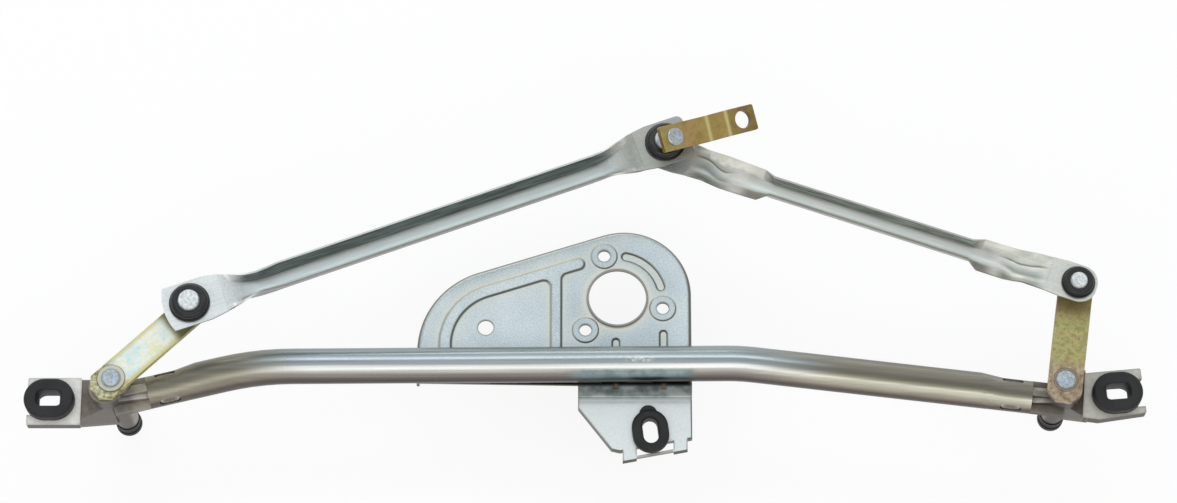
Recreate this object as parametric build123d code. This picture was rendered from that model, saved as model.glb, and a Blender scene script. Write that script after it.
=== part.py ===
from build123d import *
import math
import os

# Windscreen wiper linkage for two wipers, as supplied without its motor.
# Origin: centre of the motor opening, on the front face of the motor plate.
# X runs along the tube, Y towards the rods, Z towards the crank side.
# The wiper shafts point to -Z. All sizes are real millimetres.

# Reach of the cutters that go right through a piece
through_cut = 60.0

# Layout of the fixed pivots
left_shaft_x = -350.4
left_shaft_y = -71.5
right_shaft_x = 309.3
right_shaft_y = -72.6

# Crank arms on the wiper shafts
left_arm_length = 74.0
left_arm_angle = 43.5
left_arm_width = 22.0
right_arm_length = 67.4
right_arm_angle = 81.5
right_arm_width = 24.0
arm_thickness = 5.0
arm_tail = 15.5
arm_corner = 6.5
arm_ring_height = 0.6
arm_ring_width = 3.0
arm_ring_gap = 0.6

# Connecting rods
left_rod_length = 350.0
left_rod_rise = 8.0
right_rod_length = 303.6
rod_sheet = 1.5

# Ball joints
large_ball_diameter = 16.0
small_ball_diameter = 13.0
large_neck_diameter = 9.0
small_neck_diameter = 8.0
ball_height = 16.4
large_ball_seat = 4.4
small_ball_seat = 3.6
ball_flat_height = 4.3
ball_standout = 2.7
ball_clearance = 0.05
large_socket_diameter = 28.4
small_socket_diameter = 23.4
large_rod_hole = 22.0
small_rod_hole = 18.0
socket_lip_height = 1.6
socket_lip_width = 1.2
socket_rim_height = 1.8
socket_groove_width = 1.3
pin_ball_spacing = 17.0
split_gap = 0.2
stud_collar_height = 2.0
stud_head_height = 1.5
stud_shank_diameter = 8.0

# Motor crank
crank_tilt = 28.6
crank_tilt_heading = -22.8
crank_heading = 15.9
crank_throw = 52.0
crank_width = 18.4
crank_thickness = 4.5
crank_ball_drop = 15.0
crank_tail = 10.3
crank_bend_start = 26.2
crank_bend_run = 14.2
crank_bend_rise = 8.0
crank_nose = 10.3
crank_hole_diameter = 12.6
crank_corner = 1.6

# Tube
tube_diameter = 25.0
tube_wall = 1.8
tube_left_bend_x = -252.0
tube_left_bend_y = -54.9
tube_right_bend_x = 85.7
tube_right_bend_y = -52.5
tube_left_end_x = -327.5
tube_left_end_y = -73.2
tube_right_end_x = 288.0
tube_right_end_y = -76.5
tube_end_diameter = 22.8
tube_end_length = 36.0
tube_end_taper = 16.0
tube_left_bend_radius = 210.0
tube_right_bend_radius = 150.0
crimp_length = 15.0
crimp_width = 6.4
crimp_depth = 1.6
crimp_skin = 1.2
crimp_setback = 14.0
crimp_turn = 50.0
crimp_count = 3

# Motor plate
plate_thickness = 2.0
plate_left_x = -141.3
plate_right_x = 52.2
plate_bottom_y = -64.6
plate_heel_y = -62.8
plate_slope = 17.6
plate_slope_x = -98.5
plate_slope_y = 20.4
plate_left_radius = 61.0
plate_right_radius = 47.5
plate_rim_depth = 8.0
plate_edge_radius = 4.0
motor_opening_diameter = 40.5
motor_collar_height = 2.2
motor_collar_wall = 1.3
motor_collar_relief = 1.6
motor_bolt_circle = 65.8
motor_bolt_hole = 8.6
motor_bolt_start = 106.5
motor_pad_diameter = 20.3
motor_pad_height = 1.2
cable_hole_diameter = 11.0
cable_hole_x = -93.0
cable_hole_y = -21.8
bead_width = 11.4
bead_height = 2.0
bead_inset = 19.8
bead_slope_inset = 16.6
bead_slope_end_x = -27.5
bead_corner = 3.5
bead_stop = 0.48
rib_x = -43.4
rib_width = 10.6
arc_bead_radius = 32.0
arc_bead_width = 8.6
arc_bead_from = 16.0
arc_bead_to = 79.0
groove_left_x = -1.1
groove_right_x = 32.4
groove_left_top_y = -28.5
groove_right_top_y = -22.5
groove_width = 8.0
groove_depth = 1.6
pressing_skin = 1.2

# Rounded side of every bead, pad and groove: share of its height, slope away from upright
pressed_side = [(0.12, 72.0), (0.18, 58.0), (0.40, 38.0), (0.18, 55.0), (0.12, 74.0)]

# Fixing tab below the tube
tab_left_x = -27.8
tab_drop = 6.0
tab_step_run = 6.2
tab_bend_radius = 3.4
tab_gate = 1.5
tab_shoulder_y = -79.5
tab_foot_x = -4.6
tab_foot_y = -109.5
tab_right_y = -101.5
tab_lip_depth = 6.0
tab_leg_drop = 9.0
tab_leg_width = 9.8
tab_leg_chamfer = 1.5
tab_window_left_x = 13.2
tab_window_width = 25.8
tab_window_top = 0.8
tab_edge_radius = 1.8
tab_bar_height = 2.0
tab_slot_x = 22.9
tab_slot_y = -97.0
tab_slot_entry = 12.0

# Rubber grommets
end_grommet_length = 35.0
end_grommet_width = 28.6
end_slot_length = 14.5
end_slot_width = 11.5
end_slot_corner = 4.0
end_slot_depth = 10.2
end_mouth_length = 18.5
end_mouth_depth = 5.0
end_pocket_wall = 2.8
left_grommet_x = -394.5
left_grommet_y = -82.2
right_grommet_x = 346.7
right_grommet_y = -77.3
centre_grommet_length = 31.0
centre_grommet_width = 25.6
centre_slot_length = 18.0
centre_slot_width = 10.6
grommet_neck_inset = 4.4
grommet_upper_flange = 8.5
grommet_lower_flange = 4.0
grommet_foot_inset = 1.8
centre_upper_flange = 5.5
grommet_edge_radius = 2.4
centre_flare_depth = 1.7
centre_grommet_turn = 7.0
tongue_width = 12.6
tongue_reach = 3.4
tongue_height = 3.0
grommet_clearance = 0.05

# Pivot housings
barrel_top_z = 31.0
left_barrel_bottom_z = -60.0
right_barrel_bottom_z = -44.5
barrel_top_diameter = 22.4
barrel_waist_diameter = 20.0
barrel_bottom_diameter = 16.0
barrel_head_height = 14.0
boss_top_z = 29.0
boss_diameter = 23.4
left_boss_reach = 6.0
left_boss_heading = 220.0
right_boss_reach = 3.5
right_boss_heading = 285.0
ear_top_z = 19.0
ear_thickness = 7.0
ear_corner_radius = 1.2
left_ear_skirt = 1.0
right_ear_skirt = 2.0
ear_skirt_wall = 2.4
left_ear_corners = [(-410.4, -99.5), (-373.0, -99.5), (-373.0, -65.3), (-410.4, -65.3)]
right_ear_corners = [(334.0, -95.6), (366.9, -90.6), (364.2, -58.2), (325.4, -61.8), (322.3, -94.1)]
right_grommet_turn = 4.5
web_top_z = 5.0
web_inset = 0.4
web_overlap = 3.6
web_foot_height = 18.5
spigot_length = 28.0
spigot_clearance = 0.03
spigot_gap = 0.1
neck_rib_width = 4.0

# Wiper shafts and their bearings
shaft_diameter = 10.0
shaft_clearance = 0.03
bush_wall = 1.0
bush_length = 16.0
press_clearance = 0.02
left_head_diameter = 12.4
right_head_diameter = 13.4
shaft_head_height = 2.0
shaft_shank_diameter = 9.0
shaft_cone_length = 6.0
shaft_thread_diameter = 8.0
shaft_thread_length = 8.0
washer_thickness = 1.0
washer_diameter = 18.0
axial_play = 0.05
circlip_thickness = 1.2
circlip_diameter = 13.4
circlip_groove_diameter = 8.6
circlip_gap_angle = 50.0
oring_diameter = 2.1
oring_clearance = 0.1
seal_diameter = 18.4
seal_overlap = 4.0
seal_cavity_height = 4.5
seal_floor = 5.5
seal_clearance = 0.3

# Weld beads between plate and tube
weld_gap = 0.1
weld_length = 20.0
weld_leg = 2.6
weld_toe = 0.4
weld_reach = 10.0
weld_positions = [-98.0, -70.0, -20.0, 15.5]

# Heights that follow from the sizes above
tube_axis_z = tube_diameter / 2 + weld_gap
arm_bottom_z = barrel_top_z + washer_thickness + 2 * axial_play
arm_top_z = arm_bottom_z + arm_thickness
outer_ball_z = arm_top_z + ball_height
left_rod_outer_z = outer_ball_z - large_ball_seat
left_rod_inner_z = left_rod_outer_z + left_rod_rise
crank_ball_z = left_rod_inner_z + large_ball_seat
pin_ball_z = crank_ball_z - pin_ball_spacing
right_rod_outer_z = outer_ball_z - small_ball_seat
right_rod_inner_z = pin_ball_z - small_ball_seat
bush_outer_radius = shaft_diameter / 2 + shaft_clearance + bush_wall
barrel_bore_radius = bush_outer_radius + press_clearance


def polar(x, y, length, angle):
    turn = math.radians(angle)
    return x + length * math.cos(turn), y + length * math.sin(turn)


def rod_meeting_point(start, start_length, end, end_length):
    """Upper crossing of two circles: where the two rods share their pin."""
    dx = end[0] - start[0]
    dy = end[1] - start[1]
    span = math.hypot(dx, dy)
    along = (start_length**2 - end_length**2 + span**2) / (2 * span)
    rise = math.sqrt(start_length**2 - along**2)
    x = start[0] + (along * dx - rise * dy) / span
    y = start[1] + (along * dy + rise * dx) / span
    return x, y


left_shaft = (left_shaft_x, left_shaft_y)
right_shaft = (right_shaft_x, right_shaft_y)
left_ball = polar(left_shaft_x, left_shaft_y, left_arm_length, left_arm_angle)
right_ball = polar(right_shaft_x, right_shaft_y, right_arm_length, right_arm_angle)
shared_pin = rod_meeting_point(left_ball, left_rod_length, right_ball, right_rod_length)


def heading(start, end):
    return math.degrees(math.atan2(end[1] - start[1], end[0] - start[0]))


left_rod_angle = heading(left_ball, shared_pin)
right_rod_angle = heading(right_ball, shared_pin)


def turned(points):
    """Solid of revolution about Z from an (r, z) outline that starts and ends on the axis."""
    face = make_face(Plane.XZ * Polyline(*points, close=True))
    return revolve(face, Axis.Z)


def ring(outer, inner, low, high):
    body = Cylinder(outer, high - low, align=(Align.CENTER, Align.CENTER, Align.MIN))
    hole = Cylinder(inner, high - low + 2, align=(Align.CENTER, Align.CENTER, Align.MIN))
    return Pos(0, 0, low) * body - Pos(0, 0, low - 1) * hole


def disc(radius, low, high):
    return Pos(0, 0, low) * Cylinder(radius, high - low, align=(Align.CENTER, Align.CENTER, Align.MIN))


def slab(face, low, high):
    """Flat face drawn on XY, raised to fill low to high."""
    return Pos(0, 0, low) * extrude(face, high - low)


def rounded_polygon(points, radii):
    """Closed outline whose corners carry their own radii. Zero leaves a corner sharp."""
    outline = Polyline(*points, close=True)
    face = make_face(outline)
    for (x, y), radius in zip(points, radii):
        if radius > 0:
            corner = face.vertices().sort_by_distance((x, y, 0))[0]
            face = fillet(corner, radius)
    return face


def oval(length, width):
    """Oval with two flats, long side along X."""
    return SlotOverall(length, width)


# Frame tube
def leg_heading(left):
    if left:
        return heading((tube_left_bend_x, tube_left_bend_y), (tube_left_end_x, tube_left_end_y))
    return heading((tube_right_bend_x, tube_right_bend_y), (tube_right_end_x, tube_right_end_y))


def tube_end(left):
    if left:
        return tube_left_end_x, tube_left_end_y
    return tube_right_end_x, tube_right_end_y


def end_shift(left):
    """Sideways step of the reduced end, so that its lower side stays in line."""
    drop = (tube_diameter - tube_end_diameter) / 2
    return drop if left else -drop


def end_frame(left, back):
    """Place on the axis of the reduced tube end: origin back from its mouth, X out of the mouth."""
    x, y = polar(*tube_end(left), -back, leg_heading(left))
    return Pos(x, y, tube_axis_z) * Rot(0, 0, leg_heading(left)) * Pos(0, end_shift(left), 0)


def reduced_end(left, radius_cut):
    """Swaged end: full diameter tapering to the smaller one, its lower side kept straight."""
    full = tube_diameter / 2 - radius_cut
    small = tube_end_diameter / 2 - radius_cut
    start = Plane(origin=(-tube_end_length, -end_shift(left), 0), x_dir=(0, 1, 0), z_dir=(1, 0, 0))
    neck = Plane(origin=(tube_end_taper - tube_end_length, 0, 0), x_dir=(0, 1, 0), z_dir=(1, 0, 0))
    taper = loft([start * Circle(full), neck * Circle(small)], ruled=True)
    straight = extrude(neck * Circle(small), tube_end_length - tube_end_taper)
    return end_frame(left, 0) * (taper + straight)


def crimp_cutters(left, widen):
    """Obround bars that mark the crimp pockets around the tube, near the end that takes the spigot."""
    side = crimp_turn if left else -crimp_turn
    pocket = slab(oval(crimp_length + widen, crimp_width + widen), 0, tube_diameter)
    pocket = Pos(0, 0, tube_end_diameter / 2 - crimp_depth - widen / 2) * pocket
    around = [Rot(side + 360 / crimp_count * k, 0, 0) * pocket for k in range(crimp_count)]
    return [end_frame(left, crimp_setback) * cutter for cutter in around]


def frame_tube():
    left_x, left_y = polar(tube_left_end_x, tube_left_end_y, -tube_end_length, leg_heading(True))
    right_x, right_y = polar(tube_right_end_x, tube_right_end_y, -tube_end_length, leg_heading(False))
    points = [
        (left_x, left_y, tube_axis_z),
        (tube_left_bend_x, tube_left_bend_y, tube_axis_z),
        (tube_right_bend_x, tube_right_bend_y, tube_axis_z),
        (right_x, right_y, tube_axis_z),
    ]
    path = FilletPolyline(*points, radius=(tube_left_bend_radius, tube_right_bend_radius))
    start = Plane(origin=path @ 0, z_dir=path % 0)
    outer = sweep(start * Circle(tube_diameter / 2), path=path)
    outer += reduced_end(True, 0)
    outer += reduced_end(False, 0)
    inner = sweep(start * Circle(tube_diameter / 2 - tube_wall), path=path)
    inner += reduced_end(True, tube_wall)
    inner += reduced_end(False, tube_wall)
    tube = outer - inner
    for liner in crimp_liners(True) + crimp_liners(False):
        tube += liner
    for cutter in crimp_cutters(True, 0) + crimp_cutters(False, 0):
        tube -= cutter
    return tube


def crimp_liners(left):
    """Metal pushed inwards under each crimp pocket. It locks the tube to the casting."""
    side = crimp_turn if left else -crimp_turn
    around = 2 * crimp_skin
    low = tube_end_diameter / 2 - crimp_depth - crimp_skin
    liner = slab(oval(crimp_length + around, crimp_width + around), low, low + tube_wall)
    around_end = [Rot(side + 360 / crimp_count * k, 0, 0) * liner for k in range(crimp_count)]
    return [end_frame(left, crimp_setback) * piece for piece in around_end]


# Motor plate
def slope_y(x):
    return plate_slope_y + (x - plate_slope_x) * math.tan(math.radians(plate_slope))


def plate_outline():
    points = [
        (plate_left_x, plate_heel_y),
        (plate_left_x, slope_y(plate_left_x)),
        (plate_right_x, slope_y(plate_right_x)),
        (plate_right_x, plate_bottom_y),
        (tab_left_x, plate_bottom_y),
    ]
    return rounded_polygon(points, [0, plate_left_radius, plate_right_radius, 0, 0])


def tube_y(x):
    """Centre line of the straight middle of the tube."""
    share = (x - tube_left_bend_x) / (tube_right_bend_x - tube_left_bend_x)
    return tube_left_bend_y + share * (tube_right_bend_y - tube_left_bend_y)


def bead_stroke():
    """Main bead: parallel to the outer edge, from beside the tube to the motor."""
    slope = math.radians(plate_slope)
    x = plate_left_x + bead_inset
    shift = bead_slope_inset / math.cos(slope)
    points = [
        (x, tube_y(x) + tube_diameter * bead_stop),
        (x, slope_y(x) - shift),
        (bead_slope_end_x, slope_y(bead_slope_end_x) - shift),
    ]
    path = FilletPolyline(*points, radius=plate_left_radius - bead_inset)
    return make_face(offset(path, bead_width / 2, side=Side.BOTH))


def bead_and_rib():
    """Main bead with its upright rib, their inner corners rounded."""
    low = tube_y(rib_x) + tube_diameter * bead_stop
    high = slope_y(rib_x) - bead_slope_inset / math.cos(math.radians(plate_slope))
    face = bead_stroke() + upright_bead(rib_x, low, high + rib_width / 2, rib_width)
    beside = face.vertices().filter_by_position(Axis.X, rib_x - rib_width, rib_x + rib_width)
    return fillet(beside.sort_by(Axis.Y)[-2:], bead_corner)


def embossed(face, height):
    """Raised form with softly rounded sides. The face is its outline at the sheet."""
    body = slab(face, -0.01, 0)
    for share, slope in pressed_side:
        step = extrude(face, height * share, taper=slope)
        face = step.faces().sort_by(Axis.Z)[-1]
        body += step
    return body


def upright_bead(x, low, high, width):
    return Pos(x, (low + high) / 2) * Rot(0, 0, 90) * oval(high - low, width)


def arc_groove():
    path = CenterArc((0, 0), arc_bead_radius, arc_bead_from, arc_bead_to - arc_bead_from)
    return make_face(offset(path, arc_bead_width / 2, side=Side.BOTH))


def pressed_in(sheet, face):
    """Groove pressed into the front of the sheet, with its skin standing out at the back."""
    skin = offset(face, pressing_skin)
    sheet += slab(skin, -plate_thickness - groove_depth, -plate_thickness + 0.01)
    return sheet - mirror(embossed(face, groove_depth), about=Plane.XY)


def motor_bolt_points():
    return [polar(0, 0, motor_bolt_circle / 2, motor_bolt_start + 120 * k) for k in range(3)]


def tab_floor():
    """Flat of the fixing tab, at its own lower level."""
    points = [
        (tab_left_x, plate_bottom_y - tab_step_run),
        (tab_left_x, tab_shoulder_y),
        (tab_foot_x, tab_foot_y),
        (tab_foot_x + 6.0, tab_foot_y - 1.5),
        (plate_right_x, tab_right_y),
        (plate_right_x, plate_bottom_y - tab_step_run),
    ]
    return make_face(Polyline(*points, close=True))


def tab_edge_y(x):
    """Sloping lower edge of the tab."""
    run = plate_right_x - tab_foot_x - 6.0
    return tab_right_y - (plate_right_x - x) * (tab_right_y - tab_foot_y + 1.5) / run


def tab_step_angle():
    return math.degrees(math.atan2(tab_drop, tab_step_run))


def tab_step():
    """S-bend between the plate and the tab, drawn across the tube and pushed along it."""
    high = plate_bottom_y
    low = plate_bottom_y - tab_step_run
    bend = plate_thickness * math.tan(math.radians(tab_step_angle()) / 2)
    small = tab_bend_radius - plate_thickness
    points = [
        (high + 2.0, 0),
        (high, 0),
        (low, -tab_drop),
        (low - 1.0, -tab_drop),
        (low - 1.0, -tab_drop - plate_thickness),
        (low + bend, -tab_drop - plate_thickness),
        (high + bend, -plate_thickness),
        (high + 2.0, -plate_thickness),
    ]
    face = Plane.YZ * rounded_polygon(points, [0, tab_bend_radius, small, 0, 0, tab_bend_radius, small, 0])
    return Pos(tab_left_x, 0, 0) * extrude(face, plate_right_x - tab_left_x, dir=(1, 0, 0))


def tab_leg(x, top):
    corners = [
        (x, tab_edge_y(x) + plate_thickness * 2),
        (x + tab_leg_width, tab_edge_y(x + tab_leg_width) + plate_thickness * 2),
        (x + tab_leg_width, tab_edge_y(x + tab_leg_width) - tab_leg_drop),
        (x, tab_edge_y(x) - tab_leg_drop),
    ]
    leg = slab(make_face(Polyline(*corners, close=True)), top - plate_thickness, top)
    toe = leg.faces().sort_by(Axis.Z)[-1].edges().sort_by(Axis.Y)[0]
    return chamfer(toe, tab_leg_chamfer)


def fixing_tab():
    top = -tab_drop
    floor = tab_floor()
    shell = slab(floor, top - tab_lip_depth, top)
    rim = shell.faces().sort_by(Axis.Z)[-1].edges().sort_by(Axis.Y)[:-1]
    shell = fillet(rim, tab_edge_radius)
    inner = offset(floor, -plate_thickness, kind=Kind.INTERSECTION)
    shell -= slab(inner, top - tab_lip_depth - 1, top - plate_thickness)
    inside = plate_right_x - tab_left_x - 2 * plate_thickness
    mouth = Box(inside, 8, tab_lip_depth, align=(Align.CENTER, Align.CENTER, Align.MAX))
    middle = (tab_left_x + plate_right_x) / 2
    shell -= Pos(middle, plate_bottom_y - tab_step_run, top - plate_thickness) * mouth
    left_leg = tab_window_left_x - tab_leg_width
    right_leg = tab_window_left_x + tab_window_width
    foot = -tab_leg_drop + tab_leg_chamfer
    bar_corners = [
        (left_leg + 1, tab_edge_y(left_leg + 1) + foot + tab_bar_height),
        (right_leg + 1, tab_edge_y(right_leg + 1) + foot + tab_bar_height),
        (right_leg + 1, tab_edge_y(right_leg + 1) + foot),
        (left_leg + 1, tab_edge_y(left_leg + 1) + foot),
    ]
    bar = slab(make_face(Polyline(*bar_corners, close=True)), top - plate_thickness, top)
    tab = shell + tab_leg(left_leg, top) + tab_leg(right_leg, top) + bar
    inset = 2 * grommet_neck_inset - 2 * grommet_clearance
    slot = oval(centre_grommet_length - inset, centre_grommet_width - inset)
    seat = Pos(tab_slot_x, tab_slot_y) * Rot(0, 0, 90 + centre_grommet_turn)
    tab -= seat * slab(slot, -through_cut, through_cut)
    entry = Box(tab_slot_entry, centre_grommet_width - inset, 2 * through_cut)
    tab -= seat * Pos(-tab_slot_entry / 2, 0) * entry
    around = 2 * grommet_clearance - 2 * grommet_foot_inset
    foot_space = oval(centre_grommet_length + around, centre_grommet_width + around)
    tab -= seat * slab(foot_space, -through_cut, top - plate_thickness)
    window_corners = [
        (tab_window_left_x, tab_edge_y(tab_window_left_x) + tab_window_top),
        (right_leg, tab_edge_y(right_leg) + tab_window_top),
        (right_leg, tab_edge_y(right_leg) + foot + tab_bar_height),
        (tab_window_left_x, tab_edge_y(tab_window_left_x) + foot + tab_bar_height),
    ]
    window = slab(make_face(Polyline(*window_corners, close=True)), top - 15, top + 15)
    return tab - window


def motor_plate():
    outline = plate_outline()
    sheet = slab(outline, -plate_rim_depth, 0)
    sheet = fillet(sheet.faces().sort_by(Axis.Z)[-1].edges().sort_by(Axis.Y)[2:], plate_edge_radius)
    hollow = offset(outline, -plate_thickness, kind=Kind.INTERSECTION)
    inside = slab(hollow, -plate_rim_depth - 1, -plate_thickness)
    upper = inside.faces().sort_by(Axis.Z)[-1].edges().sort_by(Axis.Y)[2:]
    inside = fillet(upper, plate_edge_radius - plate_thickness)
    sheet -= inside + bottom_gate()
    # The rim stops where the fixing tab leaves the plate.
    tab_width = plate_right_x - tab_left_x
    gate = Box(tab_width, 8, plate_rim_depth * 3, align=(Align.MIN, Align.MAX, Align.CENTER))
    sheet -= Pos(tab_left_x, plate_bottom_y + tab_gate, 0) * gate
    lip = Box(tab_width - plate_thickness, 6, plate_rim_depth, align=(Align.MIN, Align.CENTER, Align.MAX))
    sheet -= Pos(tab_left_x, plate_bottom_y, -plate_thickness) * lip
    sheet += tab_step()
    sheet += fixing_tab()
    sheet += embossed(bead_and_rib(), bead_height)
    for x, y in motor_bolt_points():
        sheet += Pos(x, y) * embossed(Circle(motor_pad_diameter / 2), motor_pad_height)
    sheet = pressed_in(sheet, arc_groove())
    for x, high in ((groove_left_x, groove_left_top_y), (groove_right_x, groove_right_top_y)):
        sheet = pressed_in(sheet, upright_bead(x, plate_bottom_y + 3.0, high, groove_width))
        sheet -= Pos(x, 0) * step_groove()
    opening = motor_opening_diameter / 2
    sheet += disc(opening + motor_collar_wall, -plate_thickness, motor_collar_height)
    sheet -= disc(opening, -plate_rim_depth, motor_collar_height + 1)
    relief = Cone(opening + motor_collar_relief, opening, motor_collar_relief)
    sheet -= Pos(0, 0, motor_collar_relief / 2 - plate_thickness) * relief
    for x, y in motor_bolt_points():
        sheet -= Pos(x, y) * disc(motor_bolt_hole / 2, -plate_rim_depth, motor_pad_height + 1)
    return sheet - Pos(cable_hole_x, cable_hole_y) * disc(cable_hole_diameter / 2, -plate_rim_depth, 1)


def bottom_gate():
    """Space along the bottom edge, where the sheet has no rim."""
    corners = [
        (plate_left_x + plate_thickness, plate_heel_y + 2 * plate_thickness),
        (plate_left_x + plate_thickness, plate_bottom_y - plate_thickness),
        (plate_right_x - plate_thickness, plate_bottom_y - plate_thickness),
        (plate_right_x - plate_thickness, plate_bottom_y + 2 * plate_thickness),
    ]
    return slab(make_face(Polyline(*corners, close=True)), -plate_rim_depth - 1, -plate_thickness)


def step_groove():
    """Short end of a pressed groove, where it opens on the upper part of the S-bend."""
    radius = groove_width / 3
    lean = math.radians(tab_step_angle())
    lift = radius - pressing_skin
    bar = Rot(tab_step_angle() - 90, 0, 0) * Cylinder(radius, tab_step_run)
    return Pos(0, plate_bottom_y - lift * math.sin(lean), lift * math.cos(lean)) * bar


def plate_welds():
    """Fillet welds laid along both sides of the tube, on the front of the plate."""
    tilt = heading((tube_left_bend_x, tube_left_bend_y), (tube_right_bend_x, tube_right_bend_y))
    beads = []
    for x in weld_positions:
        y = tube_y(x)
        tube_space = Cylinder(tube_diameter / 2, 2 * weld_length, rotation=(0, 90, 0))
        tube_space = Pos(x, y, tube_axis_z) * Rot(0, 0, tilt) * tube_space
        for side in (1, -1):
            outer = y + side * weld_reach
            points = [(y, 0), (outer, 0), (outer, weld_toe), (y + side * (weld_reach - weld_leg), weld_leg)]
            face = make_face(Plane.YZ * Polyline(*points, close=True))
            bead = Pos(x - weld_length / 2, 0, 0) * extrude(face, weld_length, dir=(1, 0, 0))
            bead -= tube_space
            beads.append(bead.solids().sort_by(SortBy.VOLUME)[-1])
    return Compound(beads)


# Grommets
def flared_hole(low, high):
    """Oval slot right through, flared at both ends."""
    face = oval(centre_slot_length, centre_slot_width)
    hole = slab(face, low - 1, high + 1)
    flare = extrude(face, centre_flare_depth + 0.5, taper=-35)
    upper = Pos(0, 0, high - centre_flare_depth) * flare
    return hole + upper + Pos(0, 0, low + centre_flare_depth) * mirror(flare, about=Plane.XY)


def pocketed_hole(low, high):
    """Slot with a longer mouth on top, and a wide pocket that meets it from below."""
    slot = RectangleRounded(end_slot_length, end_slot_width, end_slot_corner)
    mouth = RectangleRounded(end_mouth_length, end_slot_width, end_slot_corner)
    around = 2 * (grommet_neck_inset + end_pocket_wall)
    pocket = oval(end_grommet_length - around, end_grommet_width - around)
    floor = high - end_slot_depth
    hole = loft([Pos(0, 0, high - end_mouth_depth) * slot, Pos(0, 0, high) * mouth])
    hole += slab(mouth, high, high + 1) + slab(slot, floor - 1, high - end_mouth_depth)
    return hole + slab(pocket, low - 1, floor)


def grommet(length, width, grip, upper):
    """Rubber grommet with a groove that grips a wall from z=0 down to z=-grip."""
    flange = slab(oval(length, width), 0, upper)
    flange = fillet(flange.edges().group_by(Axis.Z)[-1], grommet_edge_radius)
    inset = 2 * grommet_neck_inset
    neck = slab(oval(length - inset, width - inset), -grip - 0.01, 0.01)
    lower = 2 * grommet_foot_inset
    foot = slab(oval(length - lower, width - lower), -grip - grommet_lower_flange, -grip)
    return flange + neck + foot


def end_grommet(x, y, turn):
    piece = grommet(end_grommet_length, end_grommet_width, ear_thickness, grommet_upper_flange)
    piece -= pocketed_hole(-ear_thickness - grommet_lower_flange, grommet_upper_flange)
    return Pos(x, y, ear_top_z) * Rot(0, 0, turn) * piece


def centre_grommet():
    piece = grommet(centre_grommet_length, centre_grommet_width, plate_thickness, centre_upper_flange)
    tongue = oval(centre_grommet_length / 2 + tongue_reach, tongue_width)
    piece += Pos((centre_grommet_length / 2 + tongue_reach) / 2, 0) * slab(tongue, 0, tongue_height)
    piece -= flared_hole(-plate_thickness - grommet_lower_flange, centre_upper_flange)
    return Pos(tab_slot_x, tab_slot_y, -tab_drop) * Rot(0, 0, 90 + centre_grommet_turn) * piece


# Pivot housings
def barrel_bottom(left):
    return left_barrel_bottom_z if left else right_barrel_bottom_z


def barrel(left):
    top = barrel_top_diameter / 2
    waist = barrel_waist_diameter / 2
    bottom = barrel_bottom_diameter / 2
    head = barrel_top_z - barrel_head_height
    low = barrel_bottom(left)
    points = [
        (0, barrel_top_z),
        (top - 1, barrel_top_z),
        (top, barrel_top_z - 1),
        (top, head),
        (waist, head - (top - waist) * 1.5),
        (bottom, low + seal_overlap + 1),
        (bottom, low),
        (0, low),
    ]
    return turned(points)


def barrel_bore(left):
    bore = disc(barrel_bore_radius, barrel_bottom(left) - 1, barrel_top_z + 1)
    pocket = disc(oring_pocket_radius(), barrel_top_z - oring_pocket_depth(), barrel_top_z + 1)
    return bore + pocket


def oring_pocket_radius():
    return shaft_diameter / 2 + oring_clearance * 3 + oring_diameter


def oring_pocket_depth():
    return oring_diameter + oring_clearance


def ear_slot(x, y, turn, outward):
    """U-slot, open on the outer side, that the grommet's neck slides into."""
    inset = 2 * grommet_neck_inset - 2 * grommet_clearance
    slot = oval(end_grommet_length - inset, end_grommet_width - inset)
    reach = Rectangle(end_grommet_length, end_grommet_width - inset)
    reach = Pos(outward * end_grommet_length / 2, 0) * reach
    cutter = slab(slot, -through_cut, through_cut) + slab(reach, -through_cut, through_cut)
    return Pos(x, y, 0) * Rot(0, 0, turn) * cutter


def web_section(x, low_y, high_y, low_z, high_z):
    corners = [(x, low_y, low_z), (x, high_y, low_z), (x, high_y, high_z), (x, low_y, high_z)]
    return Face(Wire.make_polygon([Vector(*c) for c in corners], close=True))


def spigot(left, shaft):
    """Plug that fits inside the tube and the ribbed neck that runs back to the barrel."""
    end = tube_end(left)
    plug_radius = tube_end_diameter / 2 - tube_wall - spigot_clearance
    reach = math.hypot(end[0] - shaft[0], end[1] - shaft[1]) + 2
    plug = Pos(-spigot_length / 2, 0, 0) * Cylinder(plug_radius, spigot_length, rotation=(0, 90, 0))
    plug = chamfer(plug.faces().sort_by(Axis.X)[0].edges(), 1.0)
    near = Plane(origin=(-1, 0, 0), x_dir=(0, 1, 0), z_dir=(1, 0, 0))
    far = Plane(origin=(reach, 0, 0), x_dir=(0, 1, 0), z_dir=(1, 0, 0))
    core = plug_radius * 1.2
    neck = loft([near * Rectangle(core, core), far * Rectangle(9, 22)])
    upright = Box(reach, neck_rib_width, tube_end_diameter, align=(Align.MIN, Align.CENTER, Align.CENTER))
    flat = Box(reach, tube_end_diameter, neck_rib_width, align=(Align.MIN, Align.CENTER, Align.CENTER))
    piece = plug + neck + Pos(spigot_gap, 0, 0) * (upright + flat)
    placed = end_frame(left, 0) * piece
    for cutter in crimp_cutters(left, 2 * (crimp_skin + spigot_clearance)):
        placed -= cutter
    return placed


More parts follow.
